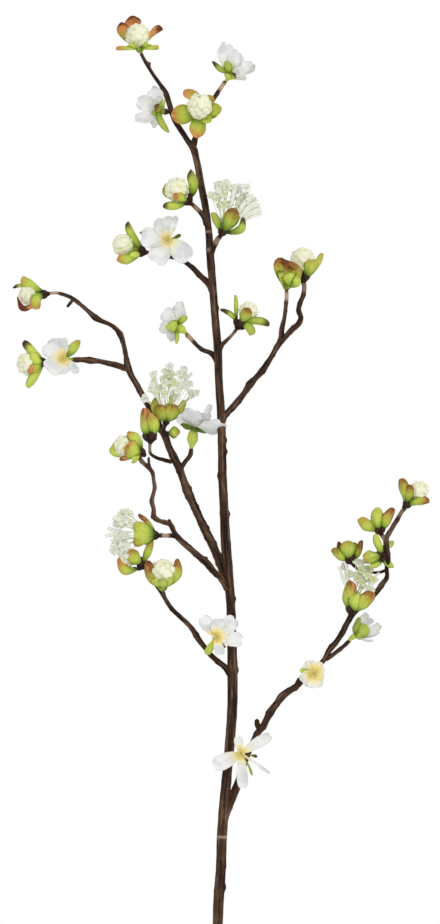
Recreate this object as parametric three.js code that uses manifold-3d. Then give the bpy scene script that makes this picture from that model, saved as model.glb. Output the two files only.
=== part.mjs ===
// A spray of cherry blossom standing in a plain bottle vase.
// Millimetres, +Z up. The origin is the centre of the vase's foot, on the surface that it stands on.
// +X is the right of the spray as it is looked at, and +Y leads away from the onlooker.

import * as THREE from 'three';
import { mergeVertices } from 'three/addons/utils/BufferGeometryUtils.js';
import Module from 'manifold-3d';

const wasm = await Module();
wasm.setup();

// Driving dimensions of the vase
const vaseHeight = 240;
const footRadius = 37;
const footChamfer = 2;
const bellyRadius = 58;
const bellyHeight = 84;
const lowBelly = { share: 0.92, height: 38, insideLift: 2, wallShare: 1.1 };
const shoulder = { share: 0.74, height: 150, insideLift: -1, wallShare: 1.15 };
const neckRadius = 18;
const neckHeight = 196;
const neckFlare = { wider: 1.5, below: 14 };
const lipRadius = 20.5;
const lipHeight = 18;
const lipEdge = { drop: 0.8, outer: 1, outerTop: 2.5, innerTop: 2, inner: 0.6 };
const wall = 5;
const floorThickness = 8;
const floorCorner = 3;
const vaseSides = 32;
const profilePoints = { outer: 11, inner: 10 };

// How the spray stands in the vase, and the room that is left between pieces that touch
const seatGap = 0.3;
const floretGap = 0.9;
const seatDepth = 0.9;
const stemLean = 0.057;
const stemFootRadius = 4.2;
const mouthContact = -7;

// Fineness of the stems
const ringSpacing = 3; // in thicknesses of the stem
const stemSides = 6;
const curveSamples = 12; // between two points of a route

// Routes of the wood, from where each stem starts to its tip.
// A point is [across, deep, height above the vase's rim, half the stem's thickness there].
// Knots are the places where the thickness rises. A twig has the number of the blossom at its tip.
const woodRoutes = {
  main_stem: [
    [10, 0, 22, 4.2], [10.5, 0, 43, 4.3], [12.5, 0, 71, 4], [13.5, 0, 97, 3.9], [16, 0, 127.5, 4.3],
    [18, 0, 154.5, 4], [20.5, -1, 180.5, 4], [22.5, -2, 212, 4], [23, -2, 241.5, 4.1],
    [22.5, -1, 269, 3.7], [21.5, 0, 299.5, 3.6], [19.5, 1, 328.5, 4.1], [17, 2, 353.5, 4.1],
    [15.5, 3, 382, 3.8], [14.5, 3, 412.5, 3.7], [14, 2, 438, 3.6], [13, 1, 465, 3.7],
    [11, 0, 495.5, 3.3], [10.5, 0, 521.5, 3.4], [8, -1, 549, 3.2], [6, -2, 577, 3.2],
    [4, -3, 603, 3.2], [2.5, -3, 624, 2.7], [0, -2, 645, 2.7], [-3.5, -1, 667.5, 2.3],
    [-6.5, 0, 685, 2.2], [-11, 1, 700, 2.4], [-17.5, 2, 709.5, 1.9], [-24.5, 3, 721, 1.9],
    [-30, 4, 730.5, 1.9], [-33.5, 3, 743, 1.9], [-39.5, 1, 752, 1.6], [-46, -2, 762, 1.4],
    [-51.5, -4, 769.5, 1.4], [-55, -5, 775.5, 1.2], [-57, -6, 779.5, 1.2],
  ],
  twig_02: [
    [-11, 1, 699, 2.2], [-9, 2, 708, 2.1], [-6.5, 4, 720, 1.8], [0, 5, 731.5, 1.6],
    [6.5, 6, 741.5, 1.6], [11, 6, 748.5, 1.5], [17, 6, 756.5, 1.3],
  ],
  twig_05: [
    [1.5, -3, 629, 1.9], [-2.5, -6, 637.5, 2.1], [-7, -9, 643, 1.7], [-13, -13, 648, 1.6],
  ],
  twig_06: [
    [4, -3, 603, 1.9], [7, -6, 611.5, 2.1], [10, -9, 617, 1.7], [13, -12, 620.5, 1.6],
  ],
  twig_07: [
    [5, -2, 573.5, 2.3], [0, 0, 580.5, 2.4], [-6.5, 3, 587.5, 2.2], [-11.5, 6, 593, 2],
    [-17, 9, 597.5, 1.7], [-25.5, 12, 602, 1.5], [-36, 13, 604, 1.4], [-46.5, 10, 606.5, 1.3],
    [-53, 6, 607, 1.4],
  ],
  twig_11: [
    [8, 0, 512, 1.9], [3.5, 3, 518.5, 2], [-3.5, 7, 521.5, 1.5], [-9, 11, 526, 1.4],
    [-14, 14, 531.5, 1.5], [-18, 17, 536, 1.4],
  ],
  twig_12: [
    [10.5, 0, 519.5, 1.8], [13.5, -3, 526.5, 1.9], [18, -7, 531, 1.3], [22.5, -10, 535, 1.2],
    [26.5, -13, 539, 1.2],
  ],
  lower_right_branch: [
    [19, 0, 123, 2.6], [23, 1, 132.5, 3.4], [26.5, 3, 141, 3.2], [30.5, 6, 152, 2.5],
    [35, 7, 166, 2.3], [40, 3, 178.5, 2.2], [45, -2, 189.5, 2.6], [49.5, -5, 194.5, 2.9],
    [52.5, -8, 201, 2.4], [55.5, -10, 208, 3.2], [60.5, -12, 215.5, 2.2], [65, -14, 221.5, 3],
    [71, -16, 226, 2.5], [77.5, -18, 230, 2.3], [85.5, -19, 237.5, 1.9], [94, -21, 245.5, 1.9],
    [101, -24, 252.5, 1.8], [106.5, -28, 262, 2.7], [112.5, -31, 270, 2.1], [117.5, -33, 278, 2.6],
    [121.5, -34, 286.5, 2.1], [128, -33, 295, 1.9], [137.5, -34, 303, 1.8], [146, -38, 311, 1.8],
    [151, -41, 318.5, 2.3], [155, -44, 325.5, 1.8], [154, -46, 333.5, 1.5], [155.5, -47, 343, 2.5],
    [154.5, -49, 351.5, 2.4], [154.5, -51, 358.5, 1.9], [158.5, -54, 367.5, 1.6],
    [163, -56, 375.5, 1.7], [167, -58, 382, 1.5], [170, -60, 385.5, 1.6],
  ],
  twig_27: [
    [102.5, -24, 253.5, 1.6], [107.5, -24, 256.5, 1.5], [113.5, -24, 261.5, 1.5],
    [119.5, -25, 266.5, 1.4], [124, -26, 271, 1.3],
  ],
  twig_28: [
    [121.5, -34, 285.5, 1.8], [123, -38, 291, 1.9], [124, -41, 294, 2],
  ],
  twig_29: [
    [154.5, -46, 331.5, 1.3], [146.5, -37, 329, 1.2], [135.5, -33, 330.5, 1.2], [128, -37, 334, 1.2],
    [124, -41, 338, 1.3],
  ],
  twig_30: [
    [154.5, -49, 354, 1.4], [152, -51, 359, 1.3], [148.5, -53, 364, 1.3],
  ],
  stub_1: [
    [46.5, -4, 190.5, 1.8], [44.5, -5, 195.5, 2.2], [44, -6, 201, 2.1],
  ],
  stub_2: [
    [77, -18, 229.5, 1.2], [78.5, -20, 234, 1], [80, -21, 238, 0.8],
  ],
  lower_left_branch: [
    [20.5, -3, 241.5, 2], [16.5, -5, 245.5, 2], [9.5, -9, 252, 1.9], [4, -12, 257, 1.8],
    [0, -15, 262.5, 1.9], [-4.5, -18, 268.5, 1.9], [-8.5, -21, 274, 2.4], [-12, -23, 280, 1.7],
    [-16.5, -26, 285.5, 1.7], [-22.5, -30, 291.5, 1.6], [-28.5, -34, 297.5, 1.6],
    [-32.5, -37, 303, 1.6], [-35.5, -39, 308.5, 1.5], [-37, -40, 313.5, 1.3],
  ],
  twig_22: [
    [-35, -38, 306.5, 1.3], [-42, -31, 314, 1.2], [-48.5, -25, 321.5, 1.2], [-52.5, -22, 329, 1.3],
    [-54.5, -22, 333.5, 1.3],
  ],
  middle_left_branch: [
    [16.5, -1, 318, 2.2], [11, -4, 324, 2.2], [5.5, -8, 329.5, 2.4], [0, -12, 336.5, 3],
    [-5.5, -15, 341, 2.7], [-11.5, -19, 346.5, 2.6], [-18, -23, 352.5, 2.4], [-24, -27, 358.5, 2.2],
    [-27.5, -29, 364.5, 1.9], [-30.5, -31, 370.5, 2.1], [-34.5, -32, 372.5, 2],
    [-39.5, -33, 373.5, 1.7], [-44.5, -34, 377, 2.3], [-45, -35, 383.5, 1.8], [-47, -36, 390.5, 2.1],
    [-45.5, -36, 396.5, 1.7], [-44, -35, 401.5, 1.9], [-44.5, -34, 408.5, 1.5], [-46, -32, 415.5, 1.8],
    [-50.5, -30, 420, 1.5], [-55.5, -27, 425.5, 1.6], [-58, -26, 428.5, 1.6],
  ],
  twig_21: [
    [-25, -27, 360, 1.6], [-30, -30, 361, 1.4], [-36, -34, 361, 1.5], [-41, -37, 361, 1.6],
  ],
  stub_3: [
    [-44.5, -34, 377, 1.6], [-47.5, -36, 377.5, 1.3],
  ],
  stub_4: [
    [-31, -31, 370.5, 1.7], [-32, -32, 375, 1.4],
  ],
  stub_5: [
    [-2, -12, 337.5, 2], [1, -13, 342, 1.3],
  ],
  large_left_branch: [
    [17, 2, 322, 2.6], [11.5, 4, 336, 3.4], [6, 7, 349, 3.6], [0, 11, 363, 3.8], [-5.5, 15, 376, 3.5],
    [-11, 19, 388, 3.5], [-16, 23, 399.5, 3.9], [-19.5, 26, 408, 3], [-23, 29, 417, 3],
    [-28, 31, 427.5, 3.4], [-32.5, 33, 437, 2.7], [-36.5, 34, 447, 3], [-41, 35, 455, 2.8],
    [-46, 37, 464.5, 2.6], [-51.5, 39, 474.5, 2.5], [-57, 41, 484.5, 2.6], [-61.5, 43, 493, 2.5],
    [-66, 44, 501, 2.5], [-69.5, 45, 509, 3], [-71.5, 47, 518.5, 2], [-73.5, 50, 528.5, 2],
    [-76, 52, 537, 2.6], [-80.5, 54, 543, 1.9], [-86.5, 56, 547, 1.7], [-93.5, 58, 550, 1.9],
    [-98.5, 59, 552.5, 2.9], [-103.5, 60, 558, 1.8], [-110, 60, 563.5, 1.6], [-115, 59, 568, 1.8],
    [-121.5, 58, 571.5, 1.6], [-127.5, 57, 573.5, 1.5], [-133, 56, 574.5, 1.2], [-138, 55, 574, 1.1],
    [-141.5, 54, 573.5, 1.5],
  ],
  left_fork: [
    [-68.5, 45, 507, 2.4], [-78, 43, 510, 2.6], [-87, 41, 512, 2.2], [-95, 39, 513, 2],
    [-102, 37, 513.5, 3], [-108.5, 34, 514, 2.1], [-115.5, 31, 514, 1.9], [-127, 32, 513, 1.4],
    [-136, 32, 512, 1.4], [-141.5, 31, 512, 1.6],
  ],
  stub_6: [
    [-119, 58, 568, 1.1], [-121, 56, 565, 1.1], [-124, 54, 561.5, 1.2],
  ],
  twig_17: [
    [-23, 29, 418, 1.6], [-19, 26, 425, 1.5], [-15, 23, 429.5, 1.6], [-13.5, 20, 437, 1.4],
  ],
  twig_18: [
    [-30, 31, 424, 1.6], [-37, 27, 426, 1.5], [-44, 23, 428.5, 1.4], [-48.5, 20, 431.5, 1.3],
    [-49.5, 18, 438, 1.3], [-49, 17, 442.5, 1.6],
  ],
  twig_16: [
    [-40, 34, 450.5, 1.8], [-37.5, 30, 454.5, 1.8], [-36, 27, 457.5, 2],
  ],
  twig_20: [
    [-36.5, 34, 443.5, 1.5], [-34.5, 31, 447, 1.3], [-33, 29, 449, 1.2],
  ],
  right_branch: [
    [13.5, 1, 457, 2], [17, 4, 465, 2.4], [22.5, 8, 472, 3.2], [28.5, 12, 479.5, 3],
    [33, 15, 486, 2.6], [38.5, 18, 494, 3.3], [43, 20, 498.5, 2.6], [49, 23, 505, 3.1],
    [53.5, 26, 512, 2.5], [57.5, 29, 518.5, 2.2], [62, 32, 525, 2.3], [65.5, 34, 531, 2.5],
    [66.5, 33, 540.5, 2], [68.5, 31, 550, 1.7], [69, 29, 559.5, 1.6], [70, 27, 568, 1.7],
    [70.5, 25, 576, 1.5],
  ],
  right_fork: [
    [64.5, 33, 529, 2], [70, 35, 535, 2.1], [76.5, 37, 541, 2.4], [81.5, 39, 546, 2.2],
    [84, 40, 550.5, 2.3], [81.5, 41, 558.5, 2], [82.5, 41, 564.5, 1.8], [85.5, 41, 572.5, 1.7],
    [86.5, 41, 578.5, 1.6], [85.5, 41, 584, 1.6],
  ],
};

// Each stem node: its own route, the short twigs that grow out of it, and the stems that it springs from
const stemPlan = {
  main_stem: { twigs: ['twig_02', 'twig_05', 'twig_06', 'twig_11', 'twig_12'], from: [] },
  lower_right_branch: {
    twigs: ['twig_27', 'twig_28', 'twig_29', 'twig_30', 'stub_1', 'stub_2'],
    from: ['main_stem'],
  },
  lower_left_branch: { twigs: ['twig_22'], from: ['main_stem'] },
  large_left_branch: {
    twigs: ['twig_16', 'twig_17', 'twig_18', 'twig_20', 'stub_6'],
    from: ['main_stem'],
  },
  middle_left_branch: {
    twigs: ['twig_21', 'stub_3', 'stub_4', 'stub_5'],
    from: ['main_stem', 'large_left_branch'],
  },
  left_fork: { twigs: [], from: ['large_left_branch'] },
  right_branch: { twigs: [], from: ['main_stem'] },
  right_fork: { twigs: [], from: ['right_branch'] },
  twig_07: { twigs: [], from: ['main_stem'] },
};

// Blossoms, by what they are:
//   ball     a round head of unopened florets in splayed bracts
//   bud      bracts still folded round the florets
//   froth    a cloud of small open florets over its bracts
//   flower   five petals standing up out of a cup of sepals
//   open     five petals spread flat, on a short stalk
// on is the stem whose tip carries the blossom, the twig of its own number if none is named.
// seat is the place of a blossom that sits on the side of a stem, given as a point of a route is.
// middle is the middle of a spread flower. faces is the way a blossom points.
// reach is the length of a bract or sepal, splay how far bracts stand off the axis, in degrees,
// head the radius of a round head or cloud, and petal the length of a petal.
const blossoms = {
  bud_01: {
    kind: 'ball', on: 'main_stem', faces: [-0.19, -0.15, 0.97], reach: 27, splay: 57, head: 10.6,
  },
  flower_02: { kind: 'flower', faces: [0.47, 0, 0.88], reach: 14, petal: 24 },
  flower_03: { kind: 'flower', seat: [-29.5, 4, 729], faces: [-1, -0.1, 0.12], reach: 14, petal: 24 },
  bud_04: {
    kind: 'ball', seat: [-3.5, 4.3, 725], faces: [-0.12, -0.97, 0.21], reach: 23, splay: 68, head: 10.8,
  },
  bud_05: { kind: 'ball', faces: [-0.77, -0.1, 0.63], reach: 23, splay: 42, head: 9.6 },
  cluster_06: { kind: 'froth', faces: [0.31, 0, 0.95], reach: 24, head: 17 },
  bud_07: { kind: 'ball', faces: [-0.91, -0.06, 0.41], reach: 25, splay: 38, head: 9.2 },
  flower_08: {
    kind: 'open', seat: [-30, 12.5, 603], middle: [-33, -4, 616], faces: [-0.1, -0.97, 0.2],
    reach: 13, petal: 25,
  },
  bud_09: { kind: 'ball', on: 'right_fork', faces: [-0.05, 0.05, 1], reach: 23, splay: 35, head: 9.6 },
  bud_10: { kind: 'bud', on: 'right_branch', faces: [0.07, 0, 1], reach: 24, splay: 24 },
  flower_11: { kind: 'flower', faces: [-0.75, 0.21, 0.63], reach: 14, petal: 20 },
  bud_12: { kind: 'ball', faces: [0.5, -0.2, 0.85], reach: 23, splay: 52, head: 8.6 },
  bud_13: {
    kind: 'ball', on: 'large_left_branch', faces: [-0.99, -0.06, -0.13], reach: 24, splay: 38, head: 8,
  },
  bud_14: { kind: 'ball', on: 'left_fork', faces: [-1, 0, 0.03], reach: 23, splay: 48, head: 9 },
  flower_15: {
    kind: 'open', seat: [-117, 31.3, 514], middle: [-126, 20, 515], faces: [-0.2, -0.98, 0],
    reach: 13, petal: 20,
  },
  cluster_16: { kind: 'froth', faces: [0.08, -0.17, 0.98], reach: 22, head: 21 },
  flower_17: { kind: 'flower', faces: [0.15, -0.06, 0.98], reach: 18, petal: 26 },
  bud_18: { kind: 'bud', faces: [-0.05, -0.1, 1], reach: 29, splay: 18 },
  bud_19: {
    kind: 'ball', on: 'middle_left_branch', faces: [-0.89, 0.06, 0.3], reach: 23, splay: 34, head: 8.4,
  },
  bud_20: { kind: 'bud', faces: [0.98, -0.06, 0.18], reach: 9, splay: 24 },
  cluster_21: { kind: 'froth', faces: [-1, -0.1, 0.07], reach: 23, head: 17 },
  bud_22: { kind: 'ball', faces: [-0.83, -0.06, 0.56], reach: 21, splay: 48, head: 8.4 },
  bud_23: {
    kind: 'ball', on: 'lower_left_branch', faces: [-0.03, -0.07, 1], reach: 24, splay: 36, head: 10,
  },
  flower_24: {
    kind: 'open', seat: [0, -15, 262.5], middle: [9, -26, 274], faces: [0.2, -0.96, 0.2],
    reach: 12, petal: 23,
  },
  flower_25: {
    kind: 'open', seat: [35, 7, 166], middle: [30, -14, 173], faces: [0, -1, 0.05], reach: 12, petal: 29,
  },
  flower_26: {
    kind: 'open', seat: [94, -21, 245.5], middle: [92, -31, 243], faces: [0, -1, 0], reach: 9, petal: 14,
  },
  flower_27: { kind: 'flower', faces: [0.77, 0.03, 0.63], reach: 16, petal: 21 },
  cluster_28: { kind: 'froth', faces: [0.26, 0.05, 0.96], reach: 24, head: 17 },
  bud_29: { kind: 'bud', faces: [-0.19, 0, 0.98], reach: 21, splay: 32 },
  bud_30: { kind: 'bud', faces: [-0.2, -0.2, 0.95], reach: 22, splay: 36 },
  bud_31: { kind: 'bud', seat: [155, -47.5, 344], faces: [-0.7, -0.5, 0.3], reach: 20, splay: 50 },
  bud_32: {
    kind: 'ball', on: 'lower_right_branch', faces: [0.6, -0.06, 0.8], reach: 22, splay: 40, head: 8.2,
  },
};

// Whorls of bracts, sepals or petals: how many there are, how thick they are, how far their middle
// stands out of the straight line from root to tip, how deep the edge is drawn in between them, how many
// corners each has on its edge, and the power of the edge's wave, which is blunter the lower it is
const whorlForms = {
  bract: { lobes: 4, thickness: 2, belly: 2.2, notch: 0.62, corners: 3, blunt: 1 },
  sepal: { lobes: 5, thickness: 1.4, belly: 1, notch: 0.6, corners: 3, blunt: 1 },
  petal: { lobes: 5, thickness: 1.6, belly: 2, notch: 0.55, corners: 6, blunt: 0.5 },
};
const calyxRadius = 2.3;
const calyxShoulder = 0.4; // how far below the root its widest ring lies, as a share of its radius
const stalkShare = 0.8; // of the calyx's radius
const calyxToPetals = (whorlForms.sepal.thickness + whorlForms.petal.thickness) / 2 + seatGap;
const flowerSplay = { sepals: 52, petals: 36 };
const openSplay = { sepals: 96, petals: 76 };
const clusterSplay = 34;
const clusterHeadStart = 13;
const clusterStalk = { middle: 0.9, long: 4 };
const headFacets = { around: 8, along: 6 };
const budCore = { along: 0.42, radius: 0.2, long: 1.6 };

// Colours of the finished pieces
const colours = {
  glaze: { color: 0xc9cfc2, roughness: 0.35 },
  bark: { color: 0x46352a, roughness: 0.85 },
  leafGreen: { color: 0x9bb24a, roughness: 0.6 },
  petalWhite: { color: 0xf4f3ef, roughness: 0.5 },
  floretWhite: { color: 0xe7ead8, roughness: 0.6 },
};

const up = new THREE.Vector3(0, 0, 1);
const onTheRim = ([x, y, height]) => new THREE.Vector3(x, y, vaseHeight + height);

// A solid from a closed geometry, whose shared corners are merged first.
function solidOf(geometry) {
  const bare = geometry.index ? geometry.toNonIndexed() : geometry.clone();
  bare.deleteAttribute('normal');
  bare.deleteAttribute('uv');
  const merged = mergeVertices(bare, 1e-4);
  return new wasm.Manifold(new wasm.Mesh({
    numProp: 3,
    vertProperties: merged.attributes.position.array,
    triVerts: new Uint32Array(merged.index.array),
  }));
}

// The geometry of a solid. A cut can leave a crumb behind, so only the largest piece is kept.
function geometryOf(solid) {
  const pieces = solid.decompose();
  pieces.sort((a, b) => b.volume() - a.volume());
  const { vertProperties, triVerts } = pieces[0].getMesh();
  const geometry = new THREE.BufferGeometry();
  geometry.setAttribute('position', new THREE.BufferAttribute(new Float32Array(vertProperties), 3));
  geometry.setIndex(new THREE.BufferAttribute(new Uint32Array(triVerts), 1));
  geometry.computeVertexNormals();
  return geometry;
}

function joined(solids) {
  return solids.reduce((whole, solid) => whole.add(solid));
}

// The vase: an outer wall that swells to the belly, narrows to the neck and opens to the lip,
// and an inner wall that keeps the wall's thickness inside it. The profile is turned round the axis.
function vaseGeometry() {
  const point = (radius, height) => new THREE.Vector2(radius, height);
  const flareRadius = neckRadius + neckFlare.wider;
  const flareHeight = neckHeight - neckFlare.below;
  const innerFoot = footRadius - wall;
  const mouthRadius = neckRadius - wall;
  const lipMiddle = vaseHeight - lipHeight / 5;
  const shoulderRadius = bellyRadius * shoulder.share;
  const lowRadius = bellyRadius * lowBelly.share;
  const outer = new THREE.SplineCurve([
    point(footRadius, footChamfer),
    point(lowRadius, lowBelly.height),
    point(bellyRadius, bellyHeight),
    point(shoulderRadius, shoulder.height),
    point(flareRadius, flareHeight),
    point(neckRadius, neckHeight),
    point(neckRadius, vaseHeight - lipHeight),
    point(lipRadius, lipMiddle),
  ]).getPoints(profilePoints.outer);
  const inner = new THREE.SplineCurve([
    point(mouthRadius, lipMiddle),
    point(mouthRadius, neckHeight),
    point(flareRadius - wall, flareHeight),
    point(shoulderRadius - wall * shoulder.wallShare, shoulder.height + shoulder.insideLift),
    point(bellyRadius - wall, bellyHeight),
    point(lowRadius - wall * lowBelly.wallShare, lowBelly.height + lowBelly.insideLift),
    point(innerFoot, floorThickness + floorCorner),
    point(innerFoot - floorCorner, floorThickness),
  ]).getPoints(profilePoints.inner);
  const profile = [
    point(0, 0),
    point(footRadius - footChamfer, 0),
    ...outer,
    point(lipRadius - lipEdge.outer, vaseHeight - lipEdge.drop),
    point(lipRadius - lipEdge.outerTop, vaseHeight),
    point(mouthRadius + lipEdge.innerTop, vaseHeight),
    point(mouthRadius + lipEdge.inner, vaseHeight - lipEdge.drop),
    ...inner,
    point(0, floorThickness),
  ];
  return new THREE.LatheGeometry(profile, vaseSides).rotateX(Math.PI / 2);
}

// The hidden end of the main stem: its foot on the vase's floor, and its side against the mouth.
function hiddenStem() {
  const mouthX = neckRadius - wall - stemFootRadius - seatGap;
  const footHeight = floorThickness + seatGap + stemFootRadius * stemLean - vaseHeight;
  const footX = mouthX - stemLean * (mouthContact - footHeight);
  return [
    [footX, 0, footHeight, stemFootRadius],
    [(mouthX + footX) / 2, 0, (mouthContact + footHeight) / 2, stemFootRadius],
    [mouthX, 0, mouthContact, stemFootRadius],
  ];
}

const routes = { ...woodRoutes, main_stem: [...hiddenStem(), ...woodRoutes.main_stem] };

// Where a blossom is seated: a little inside the tip of its stem, or at the place that it names.
// The stem is cut out of it afterwards, so that its calyx holds the stem's end.
function seatOf(name, blossom) {
  if (blossom.seat) return onTheRim(blossom.seat);
  const route = routes[blossom.on ?? name.replace(/^[a-z]+/, 'twig')];
  const tip = onTheRim(route[route.length - 1]);
  const back = onTheRim(route[route.length - 2]).sub(tip).normalize();
  return tip.addScaledVector(back, seatDepth);
}

// A stem: a many-sided rod run along a smooth curve through the route's points, then drawn in or out,
// ring by ring, to the thickness that the route gives there. grow makes it that much larger all round.
function stemSolid(route, grow = 0) {
  const centres = route.map(onTheRim);
  const path = new THREE.CatmullRomCurve3(centres, false, 'centripetal');
  const lengths = path.getLengths((centres.length - 1) * curveSamples);
  const whole = lengths[lengths.length - 1];
  const meanRadius = route.reduce((sum, point) => sum + point[3], 0) / route.length;
  const steps = Math.max(2, Math.ceil(whole / (2 * meanRadius * ringSpacing)));
  const corners = Array.from({ length: stemSides }, (unused, i) => {
    const angle = (2 * Math.PI * i) / stemSides;
    return new THREE.Vector2(Math.cos(angle), Math.sin(angle));
  });
  const section = new THREE.Shape(corners);
  const geometry = new THREE.ExtrudeGeometry(section, { steps, extrudePath: path, bevelEnabled: false });
  const rings = path.getSpacedPoints(steps);
  const thickness = rings.map((ring, i) => {
    const along = (whole * i) / steps;
    const after = Math.max(1, route.findIndex((point, k) => lengths[k * curveSamples] >= along - 1e-6));
    const from = lengths[(after - 1) * curveSamples];
    const share = THREE.MathUtils.clamp((along - from) / (lengths[after * curveSamples] - from), 0, 1);
    return THREE.MathUtils.lerp(route[after - 1][3], route[after][3], share) + grow;
  });
  const position = geometry.attributes.position;
  const vertex = new THREE.Vector3();
  for (let i = 0; i < position.count; i += 1) {
    vertex.fromBufferAttribute(position, i);
    const distances = rings.map((ring) => ring.distanceToSquared(vertex));
    const nearest = distances.indexOf(Math.min(...distances));
    vertex.sub(rings[nearest]).multiplyScalar(thickness[nearest]).add(rings[nearest]);
    if (nearest === 0) vertex.addScaledVector(path.getTangent(0), -grow);
    if (nearest === steps) vertex.addScaledVector(path.getTangent(1), grow);
    position.setXYZ(i, vertex.x, vertex.y, vertex.z);
  }
  return solidOf(geometry);
}

// A rounded lump: a coarse ball, drawn out along one way if long is over 1.
function lump(centre, radius, way = up, long = 1, around = 6, along = 4) {
  const geometry = new THREE.SphereGeometry(radius, around, along);
  geometry.scale(1, long, 1);
  const turn = new THREE.Quaternion().setFromUnitVectors(new THREE.Vector3(0, 1, 0), way);
  geometry.applyQuaternion(turn);
  geometry.translate(centre.x, centre.y, centre.z);
  return solidOf(geometry);
}

// A whorl of bracts, sepals or petals: a thin cup turned round the axis, its wall standing off it by
// the splay angle, and its edge drawn in towards the root between the lobes.
function whorl(root, axis, splay, length, form, grow = 0, base = 0) {
  const lean = THREE.MathUtils.degToRad(splay);
  const onWall = (along, offset) => new THREE.Vector2(
    along * Math.sin(lean) + offset * Math.cos(lean),
    along * Math.cos(lean) - offset * Math.sin(lean),
  );
  const half = form.thickness / 2 + grow;
  const underside = base > 0
    ? [new THREE.Vector2(0, -base - grow), new THREE.Vector2(base + grow, -base * calyxShoulder)]
    : [new THREE.Vector2(0, -half)];
  const profile = [
    ...underside,
    onWall(length / 2, form.belly + half),
    onWall(length + grow, (-2 * form.belly * grow) / length),
    onWall(length / 2, form.belly - half),
    new THREE.Vector2(0, half),
  ];
  const geometry = new THREE.LatheGeometry(profile, form.lobes * form.corners);
  const position = geometry.attributes.position;
  const widest = (length + grow) ** 2;
  for (let i = 0; i < position.count; i += 1) {
    const vertex = new THREE.Vector3().fromBufferAttribute(position, i);
    const angle = Math.atan2(vertex.x, vertex.z);
    const lobe = Math.abs(Math.cos((form.lobes * angle) / 2)) ** form.blunt;
    const share = vertex.lengthSq() / widest;
    vertex.multiplyScalar(1 - form.notch * share * (1 - lobe));
    position.setXYZ(i, vertex.x, vertex.y, vertex.z);
  }
  geometry.applyQuaternion(new THREE.Quaternion().setFromUnitVectors(new THREE.Vector3(0, 1, 0), axis));
  geometry.translate(root.x, root.y, root.z);
  return solidOf(geometry);
}

// The green parts of a blossom: its calyx and the bracts or sepals round it.
// An unopened blossom has its florets in the same piece.
function greenParts({ kind, seat, axis, middle, reach, splay, head }, grow = 0) {
  const { bract, sepal } = whorlForms;
  const root = seat.clone().addScaledVector(axis, calyxRadius);
  if (kind === 'ball') {
    const centre = root.clone().addScaledVector(axis, head);
    return whorl(root, axis, splay, reach, bract, grow, calyxRadius).add(lump(centre, head + grow, axis));
  }
  if (kind === 'bud') {
    const core = root.clone().addScaledVector(axis, reach * budCore.along);
    return whorl(root, axis, splay, reach, bract, grow, calyxRadius)
      .add(lump(core, reach * budCore.radius + grow, axis, budCore.long));
  }
  if (kind === 'froth') return whorl(root, axis, clusterSplay, reach, bract, grow, calyxRadius);
  if (kind === 'flower') return whorl(root, axis, flowerSplay.sepals, reach, sepal, grow, calyxRadius);
  const ring = middle.clone().addScaledVector(axis, -calyxToPetals);
  const stalk = ring.clone().sub(seat);
  const radius = calyxRadius * stalkShare + grow;
  const long = (stalk.length() / 2 + grow) / radius;
  const halfway = seat.clone().lerp(ring, 0.5);
  return whorl(ring, axis, openSplay.sepals, reach, sepal, grow, calyxRadius)
    .add(lump(halfway, radius, stalk.normalize(), long));
}

// The five petals of an opened flower, grown together at its middle.
function petals({ kind, seat, axis, middle, petal }) {
  if (kind === 'open') return whorl(middle, axis, openSplay.petals, petal, whorlForms.petal);
  const start = seat.clone().addScaledVector(axis, calyxRadius + calyxToPetals);
  return whorl(start, axis, flowerSplay.petals, petal, whorlForms.petal);
}

// The cloud of open florets over a cluster's bracts, on the stalk that they share.
function florets({ seat, axis, head }) {
  const middle = seat.clone().addScaledVector(axis, clusterHeadStart + head);
  const stalkMiddle = seat.clone().addScaledVector(axis, clusterHeadStart * clusterStalk.middle);
  const stalk = lump(stalkMiddle, calyxRadius * stalkShare, axis, clusterStalk.long);
  return lump(middle, head, axis, 1, headFacets.around, headFacets.along).add(stalk);
}

const materials = Object.fromEntries(Object.entries(colours).map(
  ([name, look]) => [name, new THREE.MeshStandardMaterial({ ...look, metalness: 0 })],
));
const spray = new THREE.Group();

function addPiece(name, geometry, material) {
  const mesh = new THREE.Mesh(geometry, materials[material]);
  mesh.name = name;
  spray.add(mesh);
}

addPiece('vase', vaseGeometry(), 'glaze');

// Every stem, and the same stems a little larger, which keep what is cut by them clear
const stems = {};
const roomyStems = {};
for (const [name, { twigs }] of Object.entries(stemPlan)) {
  const parts = [name, ...twigs].map((part) => routes[part]);
  stems[name] = joined(parts.map((route) => stemSolid(route)));
  roomyStems[name] = joined(parts.map((route) => stemSolid(route, seatGap)));
}
for (const [name, { from }] of Object.entries(stemPlan)) {
  const cut = from.reduce((solid, parent) => solid.subtract(roomyStems[parent]), stems[name]);
  addPiece(name, geometryOf(cut), 'bark');
}

const roomyWood = joined(Object.values(roomyStems));
for (const [name, facts] of Object.entries(blossoms)) {
  const blossom = {
    ...facts,
    seat: seatOf(name, facts),
    axis: new THREE.Vector3(...facts.faces).normalize(),
    middle: facts.middle && onTheRim(facts.middle),
  };
  const green = greenParts(blossom).subtract(roomyWood);
  const room = facts.kind === 'froth' ? floretGap : seatGap;
  const roomyGreen = greenParts(blossom, room).add(roomyWood);
  if (facts.kind === 'ball' || facts.kind === 'bud') {
    addPiece(name, geometryOf(green), 'leafGreen');
  } else if (facts.kind === 'froth') {
    addPiece(`${name}_bracts`, geometryOf(green), 'leafGreen');
    addPiece(`${name}_florets`, geometryOf(florets(blossom).subtract(roomyGreen)), 'floretWhite');
  } else {
    addPiece(`${name}_sepals`, geometryOf(green), 'leafGreen');
    addPiece(`${name}_petals`, geometryOf(petals(blossom).subtract(roomyGreen)), 'petalWhite');
  }
}

export default spray;
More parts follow.
